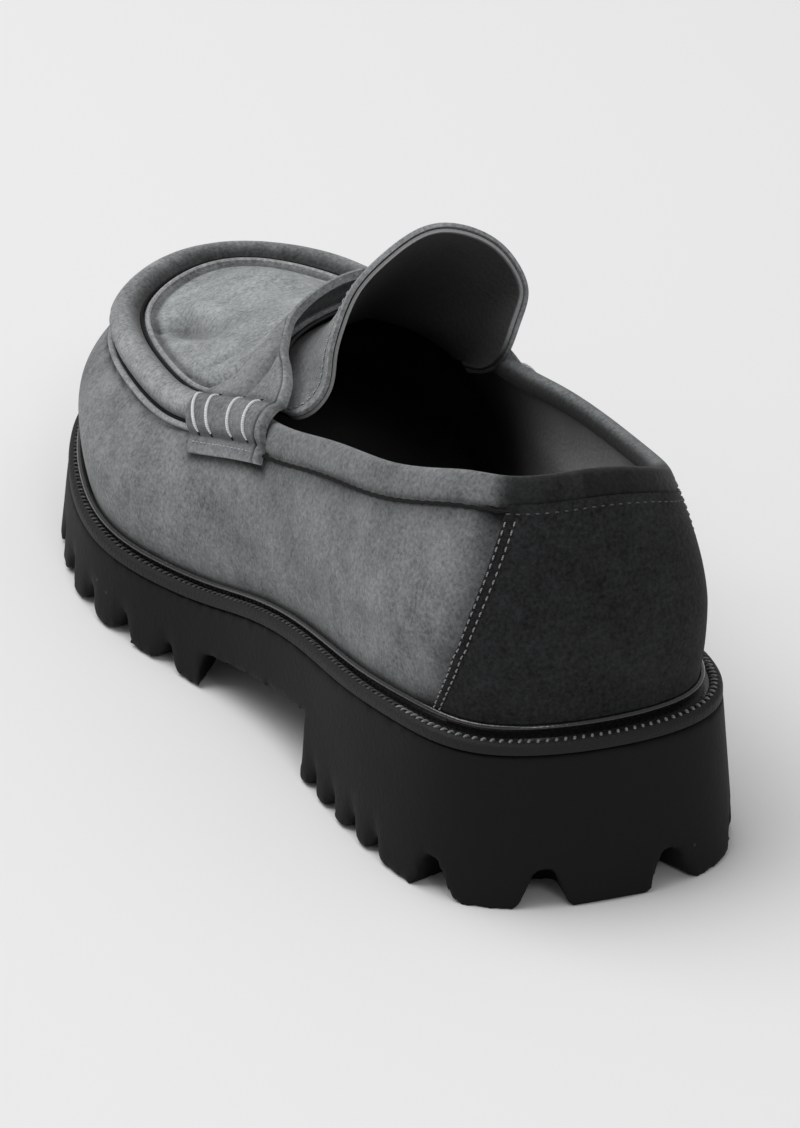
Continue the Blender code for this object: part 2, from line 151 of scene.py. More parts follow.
def seat(x):
    return seatCurve(x)[..., 0]


def form(k):
    shape = dict(zip(formNames, np.moveaxis(formCurve(station(k)), -1, 0)))
    shape["bulge"] = np.where(onOuterSide(k), shape["outerBulge"], shape["innerBulge"])
    return shape


def unit(vectors):
    return vectors / np.linalg.norm(vectors, axis=-1, keepdims=True)


def outward(k):
    along = unit(feather(k + nudge) - feather(k - nudge))
    return np.stack([-along[..., 1], along[..., 0]], -1)


def rib(k, angle):      # a point on the last: angle -1 on the sole, 0 at the belly, 1 on the ridge
    k, angle = np.broadcast_arrays(np.asarray(k, float), np.asarray(angle, float))
    foot = feather(k)
    shape = form(k)
    toRidge = np.stack([shape["ridgeX"], shape["ridgeY"]], -1) - foot
    width = np.linalg.norm(toRidge, axis=-1)
    ground = seat(foot[..., 0])
    below = np.minimum(angle, 0)
    turn = np.clip(angle, 0, 1) * math.pi / 2
    power = 2 / shape["fullness"]
    bulge = shape["bulge"]
    over = (width + bulge) * (1 - np.clip(np.cos(turn), 0, 1) ** power) - bulge
    inset = np.where(angle < 0, bulge * below ** 2 - bulge, over)
    climb = (shape["ridgeZ"] - ground - shape["belly"]) * np.sin(turn) ** power
    height = np.where(angle < 0, shape["belly"] * (1 + below), shape["belly"] + climb)
    plan = foot + toRidge * (inset / width)[..., None]
    return np.concatenate([plan, (ground + height)[..., None]], -1)


def skinNormal(k, angle):
    inside = np.clip(angle, nudge - 1, 1 - nudge)
    up = rib(k, inside + nudge) - rib(k, inside - nudge)
    along = rib(k + nudge, inside) - rib(k - nudge, inside)
    return unit(np.cross(up, along))


def skin(k, angle, lift):
    k, angle, lift = np.broadcast_arrays(*(np.asarray(value, float) for value in (k, angle, lift)))
    return rib(k, angle) + skinNormal(k, angle) * lift[..., None]


def climbSize(k, angle):        # mm on the last for each unit of angle
    return np.linalg.norm(rib(k, angle + nudge) - rib(k, angle - nudge), axis=-1) / (2 * nudge)


def roundSize(k, angle):        # mm on the last for each unit of k
    return np.linalg.norm(rib(k + nudge, angle) - rib(k - nudge, angle), axis=-1) / (2 * nudge)


def sideAngle(k):       # angle at the collar's height
    s = np.minimum(station(k), last["throat"])
    side = np.where(onOuterSide(k), s, lap - s)
    tops = collarCurve(s)
    top = np.where(onOuterSide(k), tops[..., 0], tops[..., 1])
    shape = form(side)
    base = seat(feather(side)[..., 0]) + shape["belly"]
    share = (top - base) / (shape["ridgeZ"] - base)
    return np.arcsin(share ** (shape["fullness"] / 2)) * 2 / math.pi


def collarAngle(k):     # past the throat it runs evenly from side to side
    ends = np.array((last["throat"], lap - last["throat"]), float)
    between = np.interp(np.mod(k, lap), ends, sideAngle(ends))
    return np.where(station(k) > last["throat"], between, sideAngle(k))


def vampStation(k, angle):      # the vamp's columns lean forward so that its edge follows the throat
    lean = throatCurve(np.clip(angle, throatTable[0, 0], 1))[..., 0] - last["throat"]
    return k + lean * (toe - k) / (toe - last["throat"])


def belowCollar(k, distance):       # angle this many mm under the collar
    top = collarAngle(k)
    return top - distance / climbSize(k, top - 0.05)


def overhang(k, height):        # how far the side stands out past the feather line
    shape = form(k)
    return shape["bulge"] * (1 - (height / shape["belly"] - 1) ** 2)


def weltEdge(k):
    return feather(k) + outward(k) * form(k)["welt"][..., None]


def treadEdge(k):
    return weltEdge(k) + outward(k) * form(k)["flare"][..., None]


def ease(low, high, value):     # 0 below low, 1 above high, smooth between
    t = np.clip((value - low) / (high - low), 0, 1)
    return t * t * (3 - 2 * t)


def bell(value, width):     # 1 at nought, fading over the width
    return np.exp(-(value / width) ** 2)


treadOutline = treadEdge(np.arange(4 * lap) / 4)        # cut as the part's own outline is
boxMiddle = (treadOutline.min(axis=0) + treadOutline.max(axis=0)) / 2


def place(points):      # from mm along the shoe to metres in the frame
    return (np.asarray(points, float).reshape(-1, 3) - (boxMiddle[0], boxMiddle[1], 0)) * mm


# Mesh tools

def gridFaces(rows, columns, ring=False):       # rows climb and columns run with k, so faces look outward
    index = np.arange(rows * columns).reshape(rows, columns)
    if ring:
        index = np.hstack([index, index[:, :1]])
    corners = (index[:-1, :-1], index[1:, :-1], index[1:, 1:], index[:-1, 1:])
    return np.stack(corners, -1).reshape(-1, 4)


def closedShell(outer, inner):      # two skins joined by a rim
    rows, columns = outer.shape[:2]
    count = rows * columns
    skinFaces = gridFaces(rows, columns)
    index = np.arange(count).reshape(rows, columns)
    border = np.concatenate([index[0, :-1], index[:-1, -1], index[-1, :0:-1], index[:0:-1, 0]])
    after = np.roll(border, -1)
    rim = np.stack([border, after, after + count, border + count], -1)
    faces = np.vstack([skinFaces, skinFaces[:, ::-1] + count, rim])
    return np.vstack([outer.reshape(-1, 3), inner.reshape(-1, 3)]), faces.tolist()


def ringFaces(count, around, loop=False):       # a run of sections, closed in a loop or capped
    index = np.arange(count * around).reshape(count, around)
    index = np.hstack([index, index[:, :1]])
    if loop:
        index = np.vstack([index, index[:1]])
    corners = (index[:-1, :-1], index[:-1, 1:], index[1:, 1:], index[1:, :-1])
    faces = np.stack(corners, -1).reshape(-1, 4).tolist()
    if not loop:
        faces.append(list(range(around)))
        faces.append(list(range((count - 1) * around, count * around)))
    return faces


def addPiece(name, points, faces, finish, nodes=(), shade=None, weld=0.02, keepWinding=False):
    mesh = bpy.data.meshes.new(name)
    mesh.from_pydata(place(points).tolist(), [], faces)
    if shade is not None:
        layer = mesh.attributes.new("seamShade", "FLOAT", "POINT")
        layer.data.foreach_set("value", np.ravel(shade).astype(np.float32))
    tidy = bmesh.new()
    tidy.from_mesh(mesh)
    bmesh.ops.remove_doubles(tidy, verts=tidy.verts, dist=weld * mm)
    if not keepWinding:
        bmesh.ops.recalc_face_normals(tidy, faces=tidy.faces)
    tidy.to_mesh(mesh)
    tidy.free()
    mesh.materials.append(finish)
    mesh.shade_smooth()
    mesh.set_sharp_from_angle(angle=math.radians(sharpAngle))
    piece = bpy.data.objects.new(name, mesh)
    bpy.context.scene.collection.objects.link(piece)
    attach(piece, "root")
    if nodes:
        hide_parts(*nodes)
    print("made", name, "with", len(mesh.polygons), "faces")
    return piece


def settle(piece):      # keeps what the modifiers make
    shaped = bpy.data.meshes.new_from_object(piece.evaluated_get(bpy.context.evaluated_depsgraph_get()))
    old = piece.data
    piece.modifiers.clear()
    piece.data = shaped
    bpy.data.meshes.remove(old)


def tube(path, ups, radius, squeeze=1.0, around=8):     # a thin cord along a path, capped
    along = unit(np.gradient(path, axis=0))
    side = unit(np.cross(ups, along))
    up = np.cross(along, side)
    turn = np.arange(around) * 2 * math.pi / around
    rings = path[:, None] + side[:, None] * (radius * np.cos(turn))[None, :, None]
    rings = rings + up[:, None] * (radius * squeeze * np.sin(turn))[None, :, None]
    return rings.reshape(-1, 3), ringFaces(len(path), around)


def stitchMesh(centres, alongs, ups, size):     # every stitch is a short arched thread
    rings, around = 7, 8
    t = np.linspace(-1, 1, rings)
    girth = size["radius"] * np.sqrt(1 - 0.8 * t ** 4)
    arch = size["rise"] * (1 - t ** 2) - size["sink"]
    turn = np.arange(around) * 2 * math.pi / around
    local = np.stack([
        np.repeat(t[:, None] * size["length"] / 2, around, 1),
        girth[:, None] * np.cos(turn),
        arch[:, None] + girth[:, None] * np.sin(turn),
    ], -1).reshape(-1, 3)
    alongs = unit(alongs)
    sides = unit(np.cross(ups, alongs))
    ups = np.cross(alongs, sides)
    points = centres[:, None] + alongs[:, None] * local[None, :, :1]
    points = points + sides[:, None] * local[None, :, 1:2] + ups[:, None] * local[None, :, 2:]
    one = ringFaces(rings, around)
    faces = [[corner + i * len(local) for corner in face] for i in range(len(centres)) for face in one]
    return points.reshape(-1, 3), faces


def runLength(path):        # mm from the path's start to each point
    return np.concatenate([[0], np.cumsum(np.linalg.norm(np.diff(path, axis=0), axis=1))])


def evenly(path, pitch):        # shares of a path's own numbering at an even pitch
    reach = runLength(path)
    count = max(int(reach[-1] / pitch), 1)
    return np.interp((np.arange(count) + 0.5) * reach[-1] / count, reach, np.arange(len(path)))


def pickAlong(values, at):
    low = np.clip(at.astype(int), 0, len(values) - 2)
    part = (at - low)[:, None]
    return values[low] * (1 - part) + values[low + 1] * part


def stitchRow(path, ups, pitch):        # centres, directions and normals of the stitches in a row
    at = evenly(path, pitch)
    return [pickAlong(values, at) for values in (path, np.gradient(path, axis=0), ups)]


def sew(name, rows, size, thread):
    points, faces = stitchMesh(*(np.vstack(part) for part in zip(*rows)), size)
    addPiece(name, points, faces, thread)


def layCord(name, path, ups, radius, finish, squeeze=1.0):
    points, faces = tube(path, ups, radius, squeeze)
    addPiece(name, points, faces, finish)


def thicken(piece, thickness):
    solid = piece.modifiers.new("thickness", "SOLIDIFY")
    solid.thickness = thickness * mm
    solid.offset = -1


# Node tools

def addNode(tree, kind, values=None, **settings):
    node = tree.nodes.new("ShaderNode" + kind)
    for name, value in settings.items():
        setattr(node, name, value)
    for name, value in (values or {}).items():
        if isinstance(value, bpy.types.NodeSocket):
            tree.links.new(value, node.inputs[name])
        else:
            node.inputs[name].default_value = value
    return node


def calc(tree, operation, first, second):
    return addNode(tree, "Math", {0: first, 1: second}, operation=operation).outputs[0]


def newGroup(name, inputs):     # every group puts out a colour, a roughness and a height for bump
    group = bpy.data.node_groups.new(name, "ShaderNodeTree")
    for label, value in inputs.items():
        kind = "NodeSocketColor" if isinstance(value, tuple) else "NodeSocketFloat"
        group.interface.new_socket(label, in_out="INPUT", socket_type=kind).default_value = value
    for label, kind in (("Colour", "Color"), ("Roughness", "Float"), ("Height", "Float")):
        group.interface.new_socket(label, in_out="OUTPUT", socket_type="NodeSocket" + kind)
    return group, group.nodes.new("NodeGroupInput").outputs, addNode(group, "TexCoord").outputs["Object"]


def putOut(group, colour, roughness, height):
    out = group.nodes.new("NodeGroupOutput").inputs
    for label, value in (("Colour", colour), ("Roughness", roughness), ("Height", height)):
        group.links.new(value, out[label])
    return group


def tint(tree, colour, tone):
    return addNode(tree, "VectorMath", {0: colour, "Scale": tone}, operation="SCALE").outputs[0]


def noise(tree, place, scale, detail=2.0, roughness=0.5):
    values = {"Vector": place, "Scale": scale, "Detail": detail, "Roughness": roughness}
    return addNode(tree, "TexNoise", values).outputs["Fac"]


def sway(tree, value, amount):      # moves a 0 to 1 pattern to swing about nought
    return calc(tree, "MULTIPLY", calc(tree, "SUBTRACT", value, 0.5), amount)


# Nap of suede: broad brushed patches, short strokes and fibre speckle; Shade darkens it, mostly with painted
# shade by seams, edges and creases, and below nought lightens it with painted light and pale raw edges
def makeSuedeNap():
    group, given, spot = newGroup(
        "suedeNap",
        {"Colour": (0.3, 0.3, 0.3, 1), "Patches": 0.6, "Strokes": 0.4, "Speckle": 0.6, "Shade": 0.0})
    wide = noise(group, spot, 42, 3, 0.6)
    blotches = noise(group, spot, 115, 3, 0.65)
    patches = calc(group, "ADD", calc(group, "MULTIPLY", wide, 0.5), calc(group, "MULTIPLY", blotches, 0.5))
    strokes = noise(group, spot, 330, 3, 0.65)
    speckle = noise(group, spot, 950, 2, 0.7)
    tone = calc(group, "ADD", sway(group, patches, given["Patches"]), sway(group, strokes, given["Strokes"]))
    tone = calc(group, "ADD", tone, sway(group, speckle, given["Speckle"]))
    light = calc(group, "SUBTRACT", 1.0, given["Shade"])
    tone = calc(group, "MULTIPLY", calc(group, "ADD", tone, 1.0), light)
    tone = calc(group, "MAXIMUM", tone, 0.03)
    fibres = calc(group, "ADD", calc(group, "MULTIPLY", speckle, 0.7), calc(group, "MULTIPLY", strokes, 0.5))
    roughness = calc(group, "ADD", sway(group, strokes, 0.2), 0.88)
    return putOut(group, tint(group, given["Colour"], tone), roughness, fibres)


# Moulded rubber: faint bloom, fine pitting and a few pale specks of dust
def makeRubberSkin():
    group, given, spot = newGroup(
        "rubberSkin",
        {"Colour": (0.02, 0.02, 0.02, 1), "Bloom": 0.5, "Dust": 0.06, "Gloss": 0.55, "Pitting": 900.0})
    bloom = noise(group, spot, 26, 4, 0.6)
    pits = noise(group, spot, given["Pitting"])
    cells = addNode(group, "TexVoronoi", {"Vector": spot, "Scale": 150.0})
    near = cells.outputs["Distance"]
    speck = addNode(group, "MapRange", {"Value": near, 1: 0.10, 2: 0.03, 3: 0.0, 4: 1.0}).outputs[0]
    rare = calc(group, "GREATER_THAN", cells.outputs["Color"], 0.82)
    dust = calc(group, "MULTIPLY", calc(group, "MULTIPLY", speck, rare), given["Dust"])
    plain = tint(group, given["Colour"], calc(group, "ADD", sway(group, bloom, given["Bloom"]), 1.0))
    dusty = addNode(group, "VectorMath", {0: plain, 1: dust}, operation="ADD").outputs[0]
    return putOut(group, dusty, calc(group, "ADD", sway(group, bloom, 0.25), given["Gloss"]), pits)


# Leather lining: pebbled grain with soft wear
def makeLeatherGrain():
    group, given, spot = newGroup(
        "leatherGrain",
        {"Colour": (0.01, 0.01, 0.01, 1), "Pebble": 900.0, "Wear": 0.5, "Gloss": 0.5, "Shade": 0.0})
    pebble = addNode(group, "TexVoronoi", {"Vector": spot, "Scale": given["Pebble"]}).outputs["Distance"]
    wear = noise(group, spot, 38, 4, 0.6)
    tone = calc(group, "ADD", sway(group, wear, given["Wear"]), 1.0)
    # Shade darkens the colour, and below nought lightens it: painted light on the inner lining, and pale raw
    # edges
    tone = calc(group, "MULTIPLY", tone, calc(group, "SUBTRACT", 1.0, given["Shade"]))
    roughness = calc(group, "ADD", sway(group, wear, 0.3), given["Gloss"])
    return putOut(group, tint(group, given["Colour"], tone), roughness, pebble)


# Thread: twisted plies along the stitch
def makeThreadTwist():
    group, given, spot = newGroup(
        "threadTwist", {"Colour": (0.5, 0.5, 0.5, 1), "Contrast": 0.6, "Gloss": 0.6})
    turned = addNode(group, "Mapping", {"Vector": spot, "Rotation": (0.6, 0.5, 0.8)}).outputs[0]
    plies = addNode(group, "TexWave", {"Vector": turned, "Scale": 700.0, "Distortion": 2.0}).outputs["Fac"]
    tone = calc(group, "ADD", sway(group, plies, given["Contrast"]), 1.0)
    roughness = calc(group, "ADD", sway(group, plies, 0.2), given["Gloss"])
    return putOut(group, tint(group, given["Colour"], tone), roughness, plies)


suedeNap = makeSuedeNap()
rubberSkin = makeRubberSkin()
leatherGrain = makeLeatherGrain()
threadTwist = makeThreadTwist()


def makeFinish(name, group, values, relief, sheen=0.0, shaded=False, specular=0.5):
    material = bpy.data.materials.new(name)
    material.use_nodes = True
    tree = material.node_tree
    shader = tree.nodes["Principled BSDF"]
    pattern = addNode(tree, "Group", node_tree=group)
    for label, value in values.items():
        pattern.inputs[label].default_value = (*value, 1) if isinstance(value, tuple) else value
    # the seamShade attribute carries painted shade and painted light, and the darker and paler tones of some
    # parts
    if shaded:
        shade = addNode(tree, "Attribute", attribute_name="seamShade")
        tree.links.new(shade.outputs["Fac"], pattern.inputs["Shade"])
    height = pattern.outputs["Height"]
    bump = addNode(tree, "Bump", {"Height": height, "Strength": 1.0, "Distance": relief * mm})
    tree.links.new(pattern.outputs["Colour"], shader.inputs["Base Color"])
    tree.links.new(pattern.outputs["Roughness"], shader.inputs["Roughness"])
    tree.links.new(bump.outputs[0], shader.inputs["Normal"])
    shader.inputs["Sheen Weight"].default_value = sheen
    shader.inputs["Sheen Roughness"].default_value = 0.5
    shader.inputs["Specular IOR Level"].default_value = specular
    return material


def makeSuede(name, colour, patches, strokes=0.35, speckle=1.7, sheen=0.12, specular=0.12):
    values = {"Colour": colour, "Patches": patches, "Strokes": strokes, "Speckle": speckle}
    return makeFinish(name, suedeNap, values, relief=0.32, sheen=sheen, shaded=True, specular=specular)


def makeRubber(name, colour, dust, gloss, pitting, relief, specular):
    values = {"Colour": colour, "Bloom": 0.5, "Dust": dust, "Gloss": gloss, "Pitting": pitting}
    return makeFinish(name, rubberSkin, values, relief, specular=specular)


def makeThread(name, colour, contrast, gloss, specular=0.5):
    values = {"Colour": colour, "Contrast": contrast, "Gloss": gloss}
    return makeFinish(name, threadTwist, values, relief=0.15, specular=specular)


greySuede = makeSuede("grey_suede", (0.182, 0.190, 0.194), patches=1.8)
# the roll's suede is the grey suede painted paler, as if lit
rollSuede = makeSuede("roll_suede", (0.285, 0.293, 0.298), patches=1.3)
strapSuede = makeSuede("strap_suede", (0.182, 0.190, 0.194), patches=1.8)
darkSuede = makeSuede("dark_suede", (0.0165, 0.0173, 0.018), patches=1.5, strokes=1.2, speckle=2.6,
                      sheen=0.035, specular=0.15)
tongueSuede = makeSuede("tongue_suede", (0.180, 0.186, 0.190), patches=1.3)
blackLining = makeFinish(
    "black_lining", leatherGrain,
    {"Colour": (0.055, 0.0555, 0.056), "Pebble": 850.0, "Wear": 0.6, "Gloss": 0.55},
    relief=0.12, shaded=True, specular=0.4)
soleRubber = makeRubber("sole_rubber", (0.0070, 0.0071, 0.0073), dust=0.04, gloss=0.66, pitting=700.0,
                        relief=0.12, specular=0.14)
weltRubber = makeRubber("welt_rubber", (0.006, 0.006, 0.0062), dust=0.02, gloss=0.17, pitting=1400.0,
                        relief=0.08, specular=0.85)
rimRubber = makeRubber("rim_rubber", (0.0125, 0.0128, 0.0132), dust=0.03, gloss=0.62, pitting=1100.0,
                       relief=0.35, specular=0.22)
whiteThread = makeThread("white_thread", (0.72, 0.74, 0.75), contrast=0.35, gloss=0.55)
paleThread = makeThread("pale_thread", (0.36, 0.37, 0.38), contrast=0.6, gloss=0.55)
greyThread = makeThread("grey_thread", (0.23, 0.235, 0.24), contrast=0.8, gloss=0.5)
dimThread = makeThread("dim_thread", (0.060, 0.061, 0.062), contrast=0.8, gloss=0.5)
# black cords that stand for painted shade in seams, grooves and stitch holes
shadeCord = makeThread("painted_shade_cord", (0.012, 0.012, 0.012), contrast=0.6, gloss=0.6, specular=0.08)
print("finishes made:", len(bpy.data.materials))


# Sole unit: a moulded rubber block with scalloped lugs, flutes up its sides and an open arch
soleUnit = {
    "step": 0.025,
    "toeSpring": 3.0, "springStart": 240.0, "toeEnd": 300.0,
    "heelBreast": 86.0, "archAtBreast": 18.5, "archFall": 0.15, "archFoot": -5.0,
    "forepartDraft": 3.0,
    # plan of the open arch, which leaves a pointed lug at each side of the forepart
    "arch": ((86.0, 80.0), (108.3, 80.0), (171.0, 34.0), (181.0, -24.0), (105.6, -80.0), (86.0, -80.0)),
    "notchReach": 14.0,
    # k of the first notch, step, count, depth, half width at the floor, half width of a flat top or 0
    "notches": (
        (0.62, 0, 1, 10, 5.8, 2.0), (19.38, 0, 1, 10, 5.8, 2.0),
        (1.72, 0, 1, 10, 5.4, 1.8), (18.28, 0, 1, 10, 5.4, 1.8),
        (2.44, 0.32, 4, 6.5, 2.3, 0), (17.56, -0.32, 4, 6.5, 2.3, 0),
        (5.36, 0.5, 9, 8, 3.2, 0), (14.43, -0.5, 9, 8, 3.2, 0),
    ),
    "treadGrowth": 1.12,    # the tread's edge is this much longer than the feather line
    "wedgePower": 1.35, "fluteDepth": 1.9, "fluteTop": 13.0,
    "voxel": 1.15, "softening": 4,
}


def treadHeight(x):
    past = np.clip(x - soleUnit["springStart"], 0, None) / (soleUnit["toeEnd"] - soleUnit["springStart"])
    return soleUnit["toeSpring"] * past ** 2


def notchForms(k):      # how high the tread is cut away and how deep the flutes are, round the edge
    size = roundSize(k, np.full_like(k, -1.0)) * soleUnit["treadGrowth"]
    rise = np.zeros_like(k)
    flute = np.zeros_like(k)
    for first, step, count, depth, half, top in soleUnit["notches"]:
        for i in range(count):
            distance = station(k - first - step * i) * size
            if top:
                rise = np.maximum(rise, depth * np.clip((half - distance) / (half - top), 0, 1))
            else:
                rise = np.maximum(rise, depth * np.exp(-(distance / half) ** soleUnit["wedgePower"]))
                flute = np.maximum(flute, bell(distance, half))
    return rise, flute * soleUnit["fluteDepth"]


def makeSoleUnit():
    k = np.arange(0, lap, soleUnit["step"])
    out = outward(k)
    top = weltEdge(k)
    foot = treadEdge(k)
    rise, flute = notchForms(k)
    seatHeight = seat(top[:, 0])
    ground = treadHeight(foot[:, 0])
    loops = []
    for share in (1, 0.6, 0.2):
        plan = top + (spine(k) - top) * share
        loops.append(np.column_stack([plan, seat(plan[:, 0])]))
    for share in np.linspace(1, 0, 12):
        low = ground + rise
        height = low + (seatHeight - low) * share
        drop = (height - ground) / (seatHeight - ground)
        fade = 1 - ease(0.15, 1.0, height / soleUnit["fluteTop"])
        plan = foot + (top - foot) * drop[:, None] - out * (flute * fade)[:, None]
        loops.append(np.column_stack([plan, height]))
    for distance in (1.5, 3.5, 5.5, 7.5, 9.5, 11.5, 13.5, 16):
        inner = foot - out * distance
        fade = 1 - ease(soleUnit["notchReach"] - 3.5, soleUnit["notchReach"] + 1.5, distance)
        loops.append(np.column_stack([inner, treadHeight(inner[:, 0]) + rise * fade]))
    for share in (0.35, 0.7, 1):
        plan = inner + (spine(k) - inner) * share
        loops.append(np.column_stack([plan, treadHeight(plan[:, 0])]))
    points = np.array(loops)
    faces = gridFaces(*points.shape[:2], ring=True).tolist()
    sole = addPiece("sole_unit", points, faces, soleRubber, ["outsole"])
    cutter = makeArchBlock()
    cut = sole.modifiers.new("arch", "BOOLEAN")
    cut.object = cutter
    cut.solver = "EXACT"
    moulded = sole.modifiers.new("moulded", "REMESH")
    moulded.mode = "VOXEL"
    moulded.voxel_size = soleUnit["voxel"] * mm
    moulded.use_smooth_shade = True
    soft = sole.modifiers.new("soft edges", "SMOOTH")
    soft.factor = 0.5
    soft.iterations = soleUnit["softening"]
    settle(sole)
    bpy.data.objects.remove(cutter, do_unlink=True)
    print("sole unit moulded,", len(sole.data.polygons), "faces")


def makeArchBlock():
    block = bmesh.new()
    for x, y in soleUnit["arch"]:
        topX = x - soleUnit["forepartDraft"] if x > soleUnit["heelBreast"] else x
        height = soleUnit["archAtBreast"] - soleUnit["archFall"] * (topX - soleUnit["heelBreast"])
        for corner in place(((x, y, soleUnit["archFoot"]), (topX, y, height))):
            block.verts.new(corner)
    bmesh.ops.convex_hull(block, input=block.verts)
    mesh = bpy.data.meshes.new("archBlock")
    block.to_mesh(mesh)
    block.free()
    cutter = bpy.data.objects.new("archBlock", mesh)
    bpy.context.scene.collection.objects.link(cutter)
    return cutter


# Welt: a glossy bead against the upper, a dark channel with slanted stitches, and a dull rim
welt = {
    "step": 0.03,
    "beadOut": 1.2, "beadHeight": 4.9, "beadRadius": 0.9,
    "channelHeight": 2.35,
    # inset from the edge and height over the seat
    "rim": ((2.15, 2.4), (1.95, 2.95), (1.6, 3.2), (1.0, 3.1), (0.45, 2.8), (0.12, 2.3), (0.0, 1.6),
            (0.0, 0.3)),
    "rimFoot": 2.15,
    "skirt": (0.75, 1.0), "skirtHeight": 3.0,       # foot of the bead, out from the bead's middle
    "clear": 0.05,
    "stitchInset": 2.15, "stitchHeight": 2.75, "stitchPitch": 2.25, "slant": 0.7, "stitchLean": 0.15,
    "paintedLitHeel": 2.3,        # behind this station the thread is painted paler as if lit, in front darker as if in shade
    "stitch": {"length": 2.3, "radius": 0.38, "rise": 0.5, "sink": 0.05},
}


def weltPoints(k, outs, heights):       # distances out from the feather line and heights over the seat
    plan = feather(k)[:, None] + outward(k)[:, None] * outs[..., None]
    return np.concatenate([plan, (seat(plan[..., 0]) + heights)[..., None]], -1)


def makeWelt():
    k = np.arange(0, lap, welt["step"])
    turn = np.radians(np.linspace(180, -50, 13))
    beadOut = welt["beadOut"] + welt["beadRadius"] * np.cos(turn)
    beadHeight = welt["beadHeight"] + welt["beadRadius"] * np.sin(turn)
    gap = last["gap"]
    foot = welt["skirtHeight"]
    outs = np.concatenate([[gap, gap], beadOut, welt["beadOut"] + np.array(welt["skirt"])])
    heights = np.concatenate([[gap, foot], beadHeight, [foot, welt["channelHeight"]]])
    outs = outs[None] + overhang(k[:, None], np.minimum(heights, welt["beadHeight"])[None])
    width = form(k)["welt"][:, None]
    middle = (outs[:, -1:] + width - welt["rimFoot"]) / 2
    backing = np.minimum(middle, width - welt["rimFoot"] - welt["clear"])
    outs = np.minimum(outs, width - welt["rimFoot"] - 2 * welt["clear"])
    rimInset, rimHeight = np.array(welt["rim"]).T
    bead = np.hstack([outs, backing, backing])
    beadHeights = np.concatenate([heights, [welt["channelHeight"], gap]])
    sections = weltPoints(k, bead, np.broadcast_to(beadHeights, bead.shape))
    faces = ringFaces(*sections.shape[:2], loop=True)
    addPiece("welt_bead", sections, faces, weltRubber, ["welt"])
    rim = np.hstack([backing, backing, width - rimInset[None]])
    rimHeights = np.concatenate([[gap, welt["channelHeight"]], rimHeight])
    sections = weltPoints(k, rim, np.broadcast_to(rimHeights, rim.shape))
    faces = ringFaces(*sections.shape[:2], loop=True)
    addPiece("welt_rim", sections, faces, rimRubber)
    makeWeltStitches(k, width - welt["stitchInset"])


def makeWeltStitches(k, outs):
    path = weltPoints(k, outs, np.full_like(outs, welt["stitchHeight"]))[:, 0]
    path = np.vstack([path, path[:1]])
    at = evenly(path, welt["stitchPitch"])
    kAt = at * welt["step"]
    out = np.column_stack([outward(kAt), np.zeros(len(kAt))])
    along = np.column_stack([out[:, 1], -out[:, 0], np.zeros(len(kAt))])
    across = along * (1 - welt["slant"]) + out * welt["slant"]
    ups = np.tile((0, 0, 1.0), (len(kAt), 1)) - out * welt["stitchLean"]
    row = (pickAlong(path, at), across, ups)
    # painted light: the heel's stitches take the paler grey thread as if lit, the sides the dim thread as if
    # in shade
    atHeel = station(kAt) < welt["paintedLitHeel"]
    for name, chosen, thread in (("heel_welt_stitches", atHeel, greyThread),
                                 ("welt_stitches", ~atHeel, dimThread)):
        sew(name, [[values[chosen] for values in row]], welt["stitch"], thread)


# Footbed: a cupped sock over the sole
footbed = {
    "step": 0.1, "margin": 2.8, "thickness": 3.2, "cup": 1.8,
    # share of the way in to the middle line, and of the thickness
    "section": ((1, 0), (0, 0), (-0.01, 0.6), (0, 0.9), (0.02, 1), (0.1, 1), (0.25, 1), (0.5, 1), (0.75, 1),
                (1, 1)),
}


def makeFootbed():
    k = np.arange(0, lap, footbed["step"])
    edge = feather(k) - outward(k) * footbed["margin"]
    loops = []
    for share, height in footbed["section"]:
        plan = edge + (spine(k) - edge) * share
        rise = footbed["thickness"] * height + footbed["cup"] * height * (1 - abs(share)) ** 3
        loops.append(np.column_stack([plan, seat(plan[:, 0]) + last["gap"] + rise]))
    points = np.array(loops)
    faces = gridFaces(*points.shape[:2], ring=True).tolist()
    addPiece("footbed", points, faces, blackLining, ["insole"])


